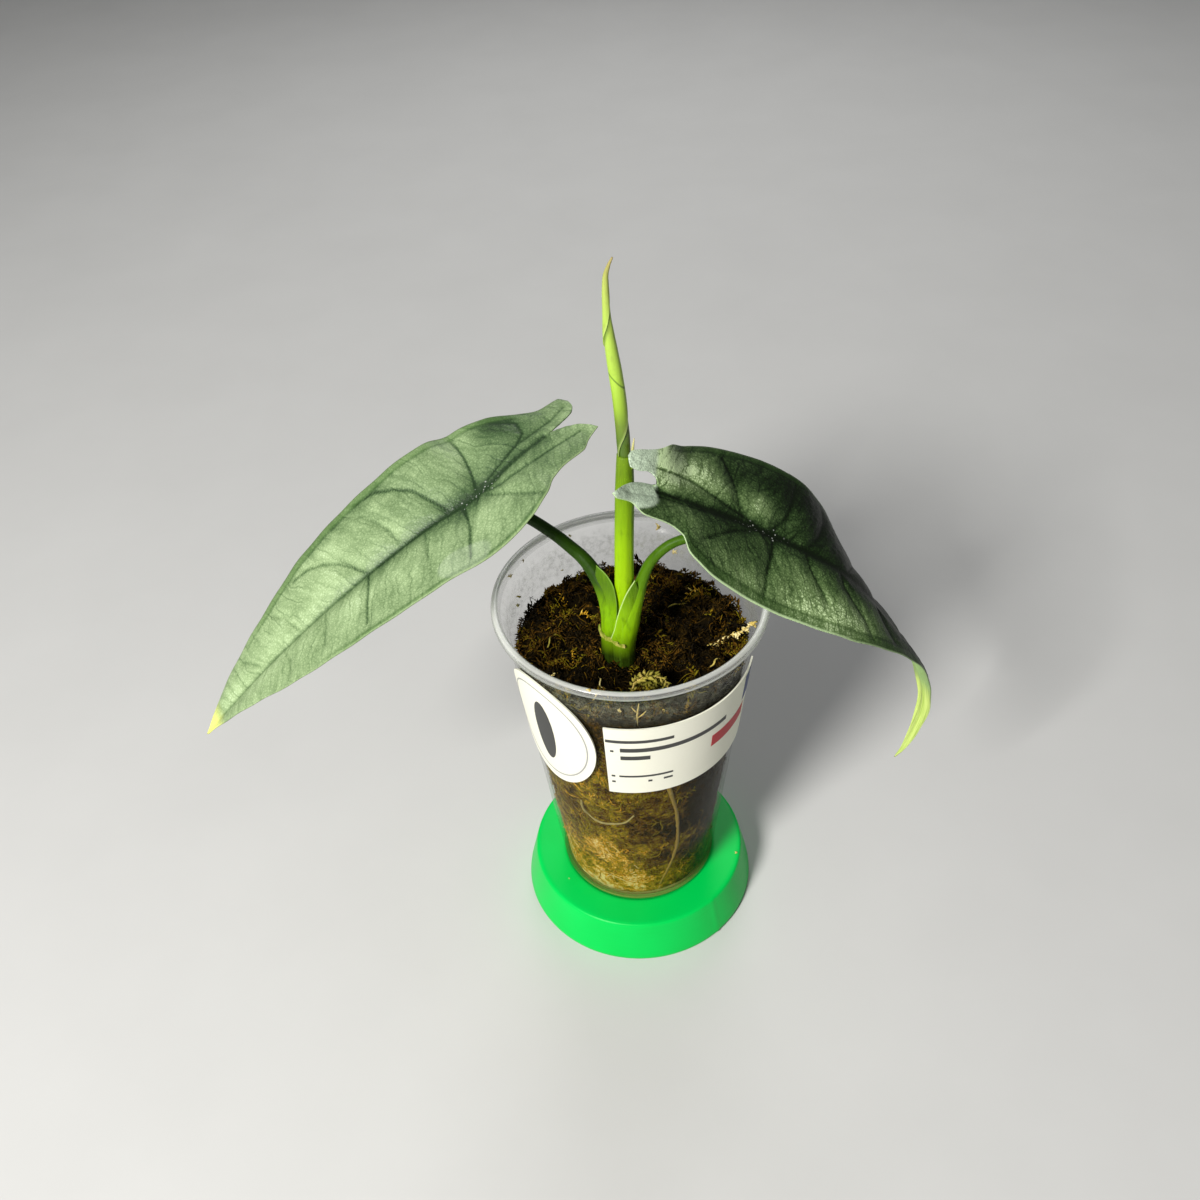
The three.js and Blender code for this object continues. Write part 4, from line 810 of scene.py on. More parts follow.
def stalk_paint(name, stops, speck, low_z, high_z, roughness=0.42, pale_edge=None, seam=False,
                specular=0.14, flecks=1.0):
    """Green stalk: colour by height, fine long streaks and specks. A sheath has a pale edge, and
    the furled leaf has painted shade under its seam's overlap, a lighter line along the seam's free
    edge and a painted shadow along a slanted line."""
    paint = Paint(name, roughness=roughness, specular=specular)
    place = paint.place()
    height = paint.span(paint.axis(place, "Z"), low_z, high_z, smooth=False)
    colour = paint.ramp(height, stops)
    streak = paint.streaks(place, (1.6, 1.6, 0.12), 4.0, 0.6)
    blotch = paint.streaks(place, (0.5, 0.5, 0.16), 3.0, 0.6)
    colour = paint.mix(paint.span(streak, 0.35, 0.75, 0.0, 0.22 * flecks), colour, speck)
    shade = tuple(0.45 * c for c in stops[-1][1])
    colour = paint.mix(paint.span(blotch, 0.5, 0.75, 0.0, 0.35), colour, shade)
    dots = paint.cells(paint.stretch(place, (1.0, 1.0, 0.45)), 1.5, "F1")
    colour = paint.mix(paint.span(dots, 0.05, 0.2, 0.55 * flecks, 0.0), colour, speck)
    if pale_edge is not None:
        colour = paint.mix(paint.span(paint.attribute("inset"), 0.0, 0.07, 0.8, 0.0), colour, pale_edge)
    if seam:
        # Painted shade under the roll's overlap, and a lighter line along its free edge.
        turn = paint.attribute("seam")
        colour = paint.mix(paint.span(turn, 0.0, 0.16, 0.75, 0.0), colour, (0.05, 0.11, 0.008))
        colour = paint.mix(paint.span(turn, 0.93, 1.0, 0.0, 0.4), colour, (0.50, 0.64, 0.20))
        # Painted shadow: the dark slanted line stands for the shade at a margin of the roll.
        slant = paint.plus(paint.axis(place, "Z"), paint.times(paint.axis(place, "X"), 1.15))
        away = paint.absolute(paint.minus(slant, SLANT_LEVEL))
        colour = paint.mix(paint.span(away, 0.15, 0.55, 0.75, 0.0), colour, (0.07, 0.15, 0.01))
    normal = paint.bump(streak, 0.15, 0.5)
    return paint.finish(colour, normal, paint.span(streak, 0.2, 0.8, roughness - 0.06, roughness + 0.12))


# Painted shade: the petioles' feet inside the cup are darkened.
SHADED_FOOT = (0.014, 0.026, 0.001)
LEFT_STOPS = [(0.0, SHADED_FOOT), (0.10, (0.11, 0.21, 0.001)), (0.20, (0.19, 0.38, 0.001)),
              (0.32, (0.18, 0.37, 0.001)), (0.46, (0.019, 0.054, 0.001)), (1.0, (0.004, 0.016, 0.001))]
RIGHT_STOPS = [(0.0, SHADED_FOOT), (0.12, (0.11, 0.21, 0.001)), (0.24, (0.21, 0.41, 0.001)),
               (0.42, (0.21, 0.41, 0.001)), (0.62, (0.07, 0.165, 0.001)), (1.0, (0.030, 0.085, 0.001))]
# Painted shade: the centre stalk's lowest stop darkens its foot inside the cup.
stalk_green = stalk_paint("stalk_green", [
    (0.0, (0.10, 0.17, 0.002)), (0.12, (0.32, 0.53, 0.001)), (0.4, (0.28, 0.49, 0.001)),
    (0.58, (0.25, 0.45, 0.001)), (0.68, (0.18, 0.33, 0.001)), (0.85, (0.11, 0.21, 0.002)),
    (1.0, (0.12, 0.20, 0.012))], (0.30, 0.50, 0.01), 130, 222)
point_green = stalk_paint("stalk_point_straw", [
    (0.0, (0.12, 0.22, 0.01)), (0.35, (0.34, 0.38, 0.10)), (1.0, (0.55, 0.50, 0.24))],
    (0.5, 0.5, 0.2), 213, 224)
petiole_greens = {
    "left": stalk_paint("petiole_left_green", LEFT_STOPS, (0.030, 0.08, 0.003), 138, 196, flecks=0.7),
    "right": stalk_paint("petiole_right_green", RIGHT_STOPS, (0.11, 0.23, 0.015), 138, 186)}
LEFT_SHEATH_STOPS = LEFT_STOPS[:4] + [(0.46, (0.07, 0.16, 0.002)), (1.0, (0.04, 0.10, 0.003))]
sheath_greens = {
    "left": stalk_paint("sheath_left_green", LEFT_SHEATH_STOPS, (0.20, 0.34, 0.02), 138, 196,
                        pale_edge=(0.18, 0.32, 0.04)),
    "right": stalk_paint("sheath_right_green", RIGHT_STOPS, (0.30, 0.50, 0.05), 138, 186,
                         pale_edge=(0.52, 0.68, 0.26))}
# Painted shade: the lowest stops darken the furled leaf's foot where it leaves the stalk.
furled_green = stalk_paint("furled_green", [
    (0.0, (0.060, 0.11, 0.006)), (0.16, (0.075, 0.135, 0.012)), (0.25, (0.13, 0.215, 0.018)),
    (0.34, (0.27, 0.43, 0.030)), (0.45, (0.36, 0.56, 0.050)), (0.76, (0.37, 0.52, 0.075)),
    (0.92, (0.38, 0.45, 0.09)), (1.0, (0.34, 0.27, 0.10))], (0.42, 0.58, 0.10), 212, 280,
    roughness=0.32, seam=True, specular=0.4, flecks=0.3)

sheet = Sheet()
add_stalk(sheet, STALK, sections=160, sides=40, ridge=0.015, ridges=9)
add_stalk(sheet, STALK_TIP, sections=24, sides=16, mark=1)
piece("stalk_center_line", sheet, [stalk_green, point_green], ("stalk_center",))


# Height and the turn at which the roll's outer edge lies there
SEAM_TURNS = [(207, 0.56), (218, 0.60), (230, 0.90), (245, 1.10), (256, 1.50), (263, 1.78), (272, 1.99),
              (281, 2.05)]


def furled_piece():
    """The rolled new leaf: each section is a spiral with a step where it overlaps."""
    sections, sides, overlap = 180, 48, 0.2
    fine = resample(FURLED_LEAF, sections)
    bend, across = tube_frames(fine[:, :3], np.broadcast_to([0.0, 1.0, 0.0], (sections, 3)))
    start = smooth_table(SEAM_TURNS)(fine[:, 2]) * 2 * math.pi
    share = np.arange(sides + 1) / sides
    turn = start[:, None] + share * 2 * math.pi
    radius = fine[:, 3:4] * (1 - overlap / 2 + overlap * share)
    ring = oval_rings(fine[:, :3], bend, across, radius, radius, turn)
    sheet = Sheet()
    sheet.add(ring, tube_faces(sections, sides + 1, flip=True),
              seam=np.broadcast_to(share, (sections, sides + 1)).reshape(-1, 1))
    return piece("furled_leaf_roll", sheet, [furled_green], ("furled_leaf",), sharp=40)


furled_piece()
for side_name, rows, sheath, end in (("left", LEFT_PETIOLE, LEFT_SHEATH, 0.985),
                                     ("right", RIGHT_PETIOLE, RIGHT_SHEATH, 0.965)):
    sheet = Sheet()
    add_stalk(sheet, rows, sections=200, sides=40, ridge=0.012, ridges=11, end=end)
    add_sheath(sheet, sheath, mark=1)
    piece("petiole_%s_line" % side_name, sheet, [petiole_greens[side_name], sheath_greens[side_name]],
          ("petiole_" + side_name,))

# Stem, scar and roots


def stem_piece():
    """The short stem hidden in the moss."""
    paint = Paint("stem_brown", roughness=0.7)
    place = paint.place()
    rings = paint.streaks(place, (0.2, 0.2, 1.4), 4.0)
    colour = paint.mix(rings, (0.16, 0.12, 0.04), (0.30, 0.26, 0.10))
    profile = [(0.01, 97), (3.4, 98), (5.6, 102), (6.1, 106), (5.7, 109), (6, 113), (5.5, 114),
               (0.01, 114)]
    sheet = Sheet()
    add_lathe(sheet, resample(profile, 60), 48)
    sheet.points[0] = sheet.points[0] + np.array([*STEM_XY, 0.0])
    return piece("stem_short", sheet, [paint.finish(colour, paint.bump(rings, 0.4, 0.6))],
                 ("stem_base",))


def root_piece(name, inner, wall, node, radius, colours):
    """A root from places inside the moss to azimuths and heights along the wall."""
    steps = 160
    points = [np.array(p, float) for p in inner]
    for azimuth, z in wall:
        r = inner_radius(z) - GAP - radius - 0.1
        points.append(on_wall(azimuth, z, 0, r))
    path, _ = catmull_rom(points, steps)
    share = np.linspace(0, 1, steps)
    knobs = 1 + 0.06 * np.sin(share * 90) + 0.05 * np.sin(share * 37 + 1)
    size = (radius * (1 - 0.35 * share) * knobs)[None]
    sheet = Sheet()
    add_tubes(sheet, path[None], size, size, 16)
    paint = Paint(name + "_skin", roughness=0.55)
    grain = paint.noise(paint.place(), 0.8, 4.0)
    return piece(name, sheet, [paint.finish(paint.mix(grain, *colours), paint.bump(grain, 0.2, 0.5))],
                 (node,))


stem_piece()
RIGHT_ROOT = [(16, 92), (19, 84), (23, 72), (25, 60), (25, 47), (20, 35), (14, 25)]
LEFT_ROOT = [(-38, 77), (-33, 70), (-26, 68), (-18, 69), (-10, 71), (-4, 76)]
root_piece("root_right_line", [(-1.5, -18.2, 106), (5, -26, 104)], RIGHT_ROOT, "root_right", 1.0,
           ((0.15, 0.09, 0.006), (0.34, 0.23, 0.025)))
root_piece("root_left_line", [(-8.6, -16.6, 103), (-17, -22, 92)], LEFT_ROOT, "root_left", 0.5,
           ((0.17, 0.14, 0.03), (0.38, 0.32, 0.10)))


def scar_paint():
    """Dry paper of the old leaf's scar, green where it still holds."""
    paint = Paint("scar_dry", roughness=0.8, specular=0.2)
    grain = paint.streaks(paint.place(), (1.2, 1.2, 0.5), 5.0, 0.65)
    colour = paint.ramp(grain, [(0.3, (0.10, 0.17, 0.005)), (0.5, (0.26, 0.30, 0.03)),
                                (0.7, (0.58, 0.46, 0.16))])
    return paint.finish(colour, paint.bump(grain, 0.3, 0.6))


dry_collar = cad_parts["dry_collar"]
dry_collar.data.materials.clear()
dry_collar.data.materials.append(scar_paint())

# Stand


STAND_PROFILE = [
    (0.01, 0), (44.2, 0), (45.2, 0.35), (45.5, 1.2), (45.2, 3.0), (42.0, 16.6), (41.75, 17.4),
    (41.3, 17.85), (40.7, 18), (31.0, 18), (30.2, 17.9), (29.4, 17.45), (28.6, 17.05), (28.0, 17.0),
    (0.01, 17.0)]
RIDGE_AZIMUTH, RIDGE_SPREAD, RIDGE_LIFT = 39.5, 0.7, 0.4
SEAT_RADIUS = 31.5


def stand_piece():
    """The turned stand, with a thin raised ridge down its side."""
    sheet = Sheet()
    add_lathe(sheet, split_profile(STAND_PROFILE, 1.2, 2), 216)
    points = sheet.points[0].reshape(-1, 3)
    angle = np.degrees(np.arctan2(points[:, 0], -points[:, 1]))
    away = np.exp(-(((angle - RIDGE_AZIMUTH) / RIDGE_SPREAD) ** 2))
    away = away * (np.hypot(points[:, 0], points[:, 1]) > SEAT_RADIUS)
    radial = unit(points * [1, 1, 0])
    points[:] = points + radial * (RIDGE_LIFT * away)[:, None]
    paint = Paint("stand_green", roughness=0.34, specular=0.15)
    place = paint.place()
    layers = paint.streaks(place, (0.02, 0.02, 1.8), 2.0)
    grain = paint.noise(place, 2.2, 3.0)
    soft = paint.noise(place, 0.05, 2.0)
    colour = paint.mix(soft, (0.0, 0.54, 0.070), (0.0, 0.64, 0.098))
    colour = paint.mix(paint.times(layers, 0.25), colour, (0.0, 0.45, 0.055))
    normal = paint.bump(layers, 0.12, 0.35, paint.bump(grain, 0.05, 0.35))
    rough = paint.span(grain, 0.2, 0.8, 0.26, 0.42)
    return piece("stand_turned", sheet, [paint.finish(colour, normal, rough)], ("stand",),
                 weld=0.02, sharp=50)


stand_piece()

# Cup


def cup_paint():
    """Clear plastic: nearly bare between haze and droplets, whiter at the lip as painted highlight
    lines, tan at the heel as a painted reflection of the moss.
    """
    paint = Paint("cup_clear", roughness=0.14, specular=0.5)
    place = paint.place()
    haze = paint.streaks(place, (0.3, 0.3, 0.03), 4.0, 0.6)
    scratch = paint.streaks(place, (2.5, 2.5, 0.12), 3.0, 0.5)
    facing = paint.node("ShaderNodeLayerWeight", {"Blend": 0.12}).outputs["Facing"]
    height = paint.axis(place, "Z")
    flat = paint.stretch(place, (1, 1, 0))
    radius = paint.node("ShaderNodeVectorMath", {0: flat}, operation="LENGTH").outputs["Value"]
    # Painted highlights: bright lines at the lip's crown and under its outer roll, and a band over the lip.
    lip_crown_highlight = paint.span(height, 151.2, 151.8, 0.0, 0.5)
    under = paint.times(paint.span(height, 149.7, 149.2), paint.span(radius, 45.8, 46.4, 0.0, 0.55))
    lip = paint.plus(paint.span(height, 148.3, 149.0, 0.0, 0.17), paint.larger(lip_crown_highlight, under))
    lip = paint.times(lip, paint.span(height, 148.2, 148.8))
    # Painted reflection: the heel is made more solid and tan like the moss seen in it.
    heel = paint.span(height, 21.5, 19.5)
    filled = paint.span(height, 134.0, 130.0)
    veil = paint.times(facing, paint.span(filled, 0.0, 1.0, 0.26, 0.5))
    alpha = paint.plus(veil, paint.span(haze, 0.4, 0.85, 0.005, 0.035))
    solid = paint.larger(lip, paint.times(heel, 0.4))
    solid = paint.larger(solid, paint.span(scratch, 0.68, 0.8, 0.0, 0.05))
    mist = paint.times(paint.span(height, 129.0, 138.0), paint.span(height, 148.0, 142.0))
    drops = paint.span(paint.noise(place, 0.5, 4.0, 0.7), 0.42, 0.68, 0.04, 0.22)
    mist = paint.times(mist, drops)
    solid = paint.larger(solid, mist)
    paint.put(paint.shader.inputs["Alpha"], paint.plus(alpha, solid, clamp=True))
    colour = paint.mix(haze, (0.04, 0.04, 0.035), (0.18, 0.18, 0.16))
    colour = paint.mix(filled, colour, (0.055, 0.045, 0.015))
    colour = paint.mix(paint.times(mist, 6.0, clamp=True), colour, (0.30, 0.30, 0.19))
    # Painted highlight: the lip is whitened.
    colour = paint.mix(paint.span(height, 147.8, 149.0), colour, (0.62, 0.63, 0.60))
    # Painted reflection of the moss at the heel.
    colour = paint.mix(heel, colour, (0.50, 0.42, 0.12))
    return paint.finish(colour, paint.bump(haze, 0.3, 0.15), paint.span(scratch, 0.3, 0.8, 0.10, 0.26))


def cup_piece():
    """The cup as one turned wall: foot, cone, shoulder, collar, rolled lip and back down inside."""
    foot = HEEL_RADIUS - 3.4
    lip_foot = RIM_Z - LIP_HEIGHT
    profile = [
        (0.01, FLOOR_Z + PUSH_UP), (foot - 2.4, FLOOR_Z + PUSH_UP), (foot, FLOOR_Z),
        (HEEL_RADIUS - 1.6, FLOOR_Z), (HEEL_RADIUS - 0.4, FLOOR_Z + 0.7),
        (HEEL_RADIUS + 0.25, FLOOR_Z + 2.4), (SHOULDER_RADIUS, SHOULDER_Z),
        (SHOULDER_RADIUS + 0.7, SHOULDER_Z + 0.5), (COLLAR_RADIUS - 0.2, SHOULDER_Z + 0.9),
        (COLLAR_RADIUS, SHOULDER_Z + 1.5), (COLLAR_RADIUS + 0.2, lip_foot),
        (RIM_RADIUS - 0.7, lip_foot + 0.1), (RIM_RADIUS - 0.15, lip_foot + 0.7),
        (RIM_RADIUS, RIM_Z - 1.6), (RIM_RADIUS - 0.2, RIM_Z - 0.7), (RIM_RADIUS - 0.7, RIM_Z - 0.15),
        (RIM_RADIUS - 1.4, RIM_Z), (RIM_RADIUS - 2.1, RIM_Z - 0.15),
        (RIM_RADIUS - LIP_WIDTH, RIM_Z - 0.7), (COLLAR_RADIUS - 0.85, lip_foot),
        (COLLAR_RADIUS - 0.9, SHOULDER_Z + 2.0), (COLLAR_RADIUS - 1.2, SHOULDER_Z + 1.3),
        (SHOULDER_RADIUS - 0.8, SHOULDER_Z + 0.4), (HEEL_RADIUS - WALL + 0.35, FLOOR_Z + 3),
        (HEEL_RADIUS - WALL - 0.9, FLOOR_Z + WALL + 0.3), (foot + 0.9, FLOOR_Z + WALL),
        (foot - 1.9, FLOOR_Z + PUSH_UP + WALL), (0.01, FLOOR_Z + PUSH_UP + WALL)]
    sheet = Sheet()
    add_lathe(sheet, split_profile(profile, 6, 1), 192)
    return piece("cup_wall", sheet, [cup_paint()], ("cup",), weld=0.02, sharp=55)


cup_piece()

# Moss


def soft_noise(points, scale, seed):
    """Soft noise from about -1 to 1 at many places."""
    shift = Vector((seed * 7.3, seed * 3.1, seed * 5.7))
    flat = np.asarray(points, float).reshape(-1, 3)
    made = np.array([noise.noise(Vector(p) * scale + shift) for p in flat])
    return made.reshape(np.shape(points)[:-1])


def moss_clumps(points):
    """How far the moss stands up in tufts at places on its top."""
    level = np.array(points, float) * [1, 1, 0]
    tufts = 1 - 2 * np.abs(soft_noise(level, 0.115, 3))
    return 2.5 * tufts + 1.3 * soft_noise(level, 0.33, 4) - 1.9


MOSS_STOPS = [(0.0, (0.006, 0.004, 0.001)), (0.2, (0.030, 0.017, 0.002)),
              (0.38, (0.12, 0.055, 0.005)), (0.52, (0.16, 0.125, 0.006)),
              (0.64, (0.24, 0.20, 0.009)), (0.74, (0.42, 0.24, 0.012)),
              (0.84, (0.66, 0.34, 0.022)), (0.93, (0.72, 0.50, 0.09)), (1.0, (0.76, 0.66, 0.26))]
DRY_STOPS = [(0.0, (0.035, 0.035, 0.004)), (0.4, (0.145, 0.135, 0.016)), (0.65, (0.33, 0.28, 0.05)),
             (0.85, (0.58, 0.43, 0.12)), (1.0, (0.80, 0.68, 0.34))]
# Patches on the wall: azimuth, height, reach along both, and how much lighter they are
WALL_BLOTCHES = ((-28, 45, 20, 10, 0.19), (0, 56, 16, 12, -0.12), (14, 48, 12, 10, -0.10),
                 (-4, 38, 9, 6, -0.10), (-34, 66, 14, 9, 0.14), (-20, 24, 20, 6, 0.08))
BED_GAP = 0.55
BED_FOOT_Z, BED_SHOULDER_Z = 21.6, 131.0
STRAND_STEPS, SPRIG_STEPS, LEAFLETS = 11, 8, 12
UP = (0.0, 0.0, 1.0)
TOP_REACH = 42.5
WALL_LOW_Z, WALL_TALL = 23, 108
WALL_PATH_Z = 22.5, 132.5
MM_PER_DEGREE = 0.64
ROOT_CLEARANCE = 1.6


def wall_tone(azimuth, z):
    """How light the moss is behind the wall: tan at the foot, olive under the labels, and painted
    light and shade that darken it on the right side.
    """
    level = np.interp(z, [20, 27, 40, 52, 62, 75, 92, 110, 128, 134],
                      [0.92, 0.86, 0.78, 0.64, 0.46, 0.50, 0.60, 0.48, 0.24, 0.18])
    # Painted light and shade by azimuth: a little lighter at the left front, darkest on the right from
    # azimuth 24 to 90 and darker at the back.
    side_shade = np.interp(azimuth, [-180, -100, -60, -30, 0, 12, 24, 34, 50, 90, 180],
                      [-0.12, -0.05, 0.04, 0.06, 0.0, -0.05, -0.16, -0.36, -0.5, -0.36, -0.12])
    for at_az, at_z, over_az, over_z, share in WALL_BLOTCHES:
        level = level + share * np.exp(-(((azimuth - at_az) / over_az) ** 2) - ((z - at_z) / over_z) ** 2)
    return level + side_shade


def moss_bed():
    """The moss's body: a rough wall behind the cup and a tufted top."""
    segments, wall_rows, rings = 220, 120, 64
    turn = full_turn(segments)
    direction = np.stack([np.cos(turn), np.sin(turn), 0 * turn], -1)
    foot = ((0.01, 20.5), (24.2, 20.5), (25.8, 19.6), (26.9, 19.2), (27.6, 19.6), (28.0, 20.6))
    rows = [direction * r + [0, 0, z] for r, z in foot]
    for z in np.linspace(BED_FOOT_Z, BED_SHOULDER_Z, wall_rows):
        rows.append(direction * (inner_radius(z) - GAP - BED_GAP) + [0, 0, z])
    edge = inner_radius(MOSS_Z) - GAP - 1.2
    for share in np.linspace(1, 0.01, rings):
        ring = direction * edge * share
        drop = 1.3 * max(0.0, (share - 0.96) / 0.04)
        lift = moss_height(ring[:, 0], ring[:, 1]) + moss_clumps(ring) - drop
        rows.append(ring * [1, 1, 0] + np.stack([0 * lift, 0 * lift, lift], -1))
    points = np.array(rows).reshape(-1, 3)
    lumps = soft_noise(points, 0.5, 1) + 0.7 * soft_noise(points, 1.1, 2)
    radial = unit(points * [1, 1, 0])
    upward = np.repeat(np.arange(len(rows)) >= wall_rows + len(foot), segments)[:, None]
    points = points + np.where(upward, [0, 0, 0.9], radial * 0.42) * (lumps - 0.5)[:, None]
    azimuth = np.degrees(np.arctan2(points[:, 0], -points[:, 1]))
    on_top = upward[:, 0]
    tone = np.where(on_top, 0.04 + 0.10 * moss_clumps(points), wall_tone(azimuth, points[:, 2]) - 0.06)
    tone = tone + np.where(on_top, 0, 0.30 * soft_noise(points, 0.10, 9)) + 0.10 * lumps
    sheet = Sheet()
    sheet.add(points, grid_faces(len(rows), segments, wrap=True, flip=True).tolist(), tint=tone)
    paint = Paint("moss_bed_tints", roughness=0.8, specular=0.04)
    place = paint.place()
    warp = paint.noise(place, 0.22, 4.0, 0.6, 1.2)
    grain = paint.noise(place, 0.9, 6.0, 0.72, 1.4)
    flake = paint.cells(place, 0.55, "F1")
    tint = paint.plus(paint.attribute("tint"), paint.span(warp, 0.3, 0.7, -0.22, 0.22))
    tint = paint.plus(tint, paint.span(grain, 0.35, 0.7, -0.2, 0.2))
    tint = paint.minus(tint, paint.span(flake, 0.2, 0.9, 0.0, 0.14), clamp=True)
    material = paint.finish(paint.ramp(tint, MOSS_STOPS), paint.bump(grain, 0.9, 0.9),
                            paint.span(grain, 0.3, 0.7, 0.45, 0.9))
    return piece("moss_bed", sheet, [material], ("moss",), weld=0.02)


def strand_paint(name, stops, roughness=0.6):
    """Moss strands: each one's tint picks its colour."""
    paint = Paint(name, roughness=roughness, specular=0.05)
    tint = paint.attribute("tint")
    grain = paint.noise(paint.place(), 1.4, 3.0)
    shift = paint.plus(tint, paint.span(grain, 0.2, 0.8, -0.09, 0.09), clamp=True)
    return paint.finish(paint.ramp(shift, stops), paint.bump(grain, 0.15, 0.5))


def add_sprigs(sheet, path, size, normal, tint, leaflets, plump=0.15):
    """Moss sprigs: a thin stem along each path with small pointed leaflets at both sides."""
    count, steps = path.shape[:2]
    share = np.linspace(0, 1, steps)
    stem = np.broadcast_to(size[:, None] * 0.13 * (1.1 - share), (count, steps))
    add_tubes(sheet, path, stem, stem, 3, normal, tint=tint - 0.08)
    along = unit(np.gradient(path, axis=1))
    pick = np.linspace(0.4, steps - 1.3, leaflets)
    low = pick.astype(int)
    part = (pick - low)[:, None]
    base = path[:, low] * (1 - part) + path[:, low + 1] * part
    ahead = along[:, low]
    facing = np.broadcast_to(normal, path.shape)[:, low]
    side = np.cross(facing, ahead) * np.where(np.arange(leaflets) % 2, 1, -1)[:, None]
    lean = rng.uniform(0.5, 1.1, (count, leaflets, 1))
    lift = rng.uniform(-0.15, 0.45, (count, leaflets, 1))
    way = unit(ahead * lean + side + facing * lift)
    taper = (1.1 - 0.5 * pick / steps)[:, None]
    length = size[:, None, None] * rng.uniform(0.7, 1.25, (count, leaflets, 1)) * taper
    middle = base + way * length * 0.5 + facing * length * 0.05
    tip = base + way * length + facing * length * rng.uniform(-0.2, 0.35, (count, leaflets, 1))
    leaf_path = np.stack([base, middle, tip], 2).reshape(-1, 3, 3)
    wide = (length[..., 0] * plump).reshape(-1, 1) * np.array([0.5, 1.0, 0.12])
    flat_normal = np.repeat(facing.reshape(-1, 1, 3), 3, axis=1)
    leaf_tint = np.repeat(tint, leaflets) + rng.normal(0, 0.05, count * leaflets)
    add_tubes(sheet, leaf_path, wide, wide * 0.35, 3, flat_normal, tint=leaf_tint)


def wander(count, steps, shortest, longest, bend_by, wave):
    """Running steps along and across of flat curved paths, each with its heading and length."""
    heading = rng.uniform(0, 2 * math.pi, count)
    step = rng.uniform(shortest, longest, count)[:, None] / (steps - 1)
    bend = rng.normal(0, bend_by, count)
    angle = heading[:, None] + bend[:, None] * (np.linspace(0, 1, steps) - 0.5) + wave
    return np.cumsum(np.cos(angle) * step, 1), np.cumsum(np.sin(angle) * step, 1)


def top_paths(count, steps, shortest, longest, rise_by, bend_by):
    """Curved paths that wander over the tufts of the moss's top."""
    share = np.linspace(0, 1, steps)
    reach = TOP_REACH * np.sqrt(rng.random(count))
    turn = rng.random(count) * 2 * math.pi
    start = np.stack([reach * np.cos(turn), reach * np.sin(turn)], -1)
    wave = 0.4 * np.sin(share * 6 + turn[:, None] * 9)
    along, across = wander(count, steps, shortest, longest, bend_by, wave)
    path = np.zeros((count, steps, 3))
    path[:, :, 0] = start[:, :1] + along
    path[:, :, 1] = start[:, 1:] + across
    far = np.hypot(path[:, :, 0], path[:, :, 1])
    shrink = np.minimum(1, (inner_radius(MOSS_Z) - 1.6) / np.maximum(far, 1e-6))
    path[:, :, :2] *= shrink[..., None]
    path[:, :, 2] = moss_height(path[:, :, 0], path[:, :, 1]) + moss_clumps(path) - 0.25
    rise = rng.gamma(2.0, rise_by, count)
    path[:, :, 2] += rise[:, None] * np.sin(share * math.pi * 0.8) ** 0.8
    return path, start


def top_tone(start):
    """Light and dark tufts over the top, with painted shade that darkens the moss near the stem."""
    places = np.concatenate([start, np.zeros((len(start), 1))], 1)
    tone = 0.17 + 0.62 * soft_noise(places, 0.09, 6) + 0.46 * soft_noise(places, 0.25, 7)
    # Painted shade under the plant: darker within about 12 mm of the stem.
    from_stem = np.hypot(start[:, 0] - STEM_XY[0], start[:, 1] - STEM_XY[1])
    return tone - 0.12 * np.exp(-((from_stem / 12) ** 2))


def strand_widths(count, widest):
    """Half widths along strands that are thickest in the middle."""
    share = np.linspace(0, 1, STRAND_STEPS)
    return rng.uniform(0.10, widest, count)[:, None] * (0.3 + 0.7 * np.sin(share * math.pi))


def top_strands(count):
    """Curly loose strands that leave the moss's top and dive back into it."""
    path, start = top_paths(count, STRAND_STEPS, 3, 11, rise_by=0.45, bend_by=1.6)
    wide = strand_widths(count, 0.30)
    tint = np.clip(top_tone(start) + rng.normal(0.0, 0.13, count), 0, 0.80)
    sheet = Sheet()
    add_tubes(sheet, path, wide, wide * 0.55, 4, UP, tint=tint)
    return piece("moss_top_strands", sheet, [strand_paint("moss_top_tints", MOSS_STOPS)])


def top_sprigs(count):
    """Feathery sprigs that lie over the tufts of the top."""
    path, start = top_paths(count, SPRIG_STEPS, 4, 10, rise_by=0.6, bend_by=1.2)
    tint = np.clip(top_tone(start) + rng.normal(0, 0.12, count), 0, 0.86)
    sheet = Sheet()
    add_sprigs(sheet, path, rng.uniform(1.0, 2.3, count), np.array(UP), tint, LEAFLETS, 0.26)
    return piece("moss_top_sprigs", sheet, [strand_paint("moss_top_sprig_tints", MOSS_STOPS)])


def wall_paths(count, steps, shortest, longest, bend_by, depth_low, depth_high):
    """Paths pressed flat against the inside of the cup's wall, with the way out of the wall."""
    azimuth = rng.uniform(-180, 180, count)
    z = WALL_LOW_Z + WALL_TALL * rng.random(count) ** 0.82
    wave = 0.5 * np.sin(np.linspace(0, 1, steps) * 7 + z[:, None])
    along, across = wander(count, steps, shortest, longest, bend_by, wave)
    height = np.clip(z[:, None] + across, *WALL_PATH_Z)
    around = azimuth[:, None] + np.degrees(along / inner_radius(z)[:, None])
    depth = rng.uniform(depth_low, depth_high, count)
    path = on_wall(around, height, 0, inner_radius(height) - GAP - depth[:, None])
    tint = np.clip(wall_tone(azimuth, z) + 0.30 * soft_noise(path[:, 0], 0.10, 9), 0, 1)
    lines = [[(az * MM_PER_DEGREE, at) for az, at in root] for root in (RIGHT_ROOT, LEFT_ROOT)]
    away = np.minimum(*(line_distance(around * MM_PER_DEGREE, height, line) for line in lines)).min(1)
    kept = away > ROOT_CLEARANCE
    return path[kept], unit(path * [1, 1, 0])[kept], tint[kept]


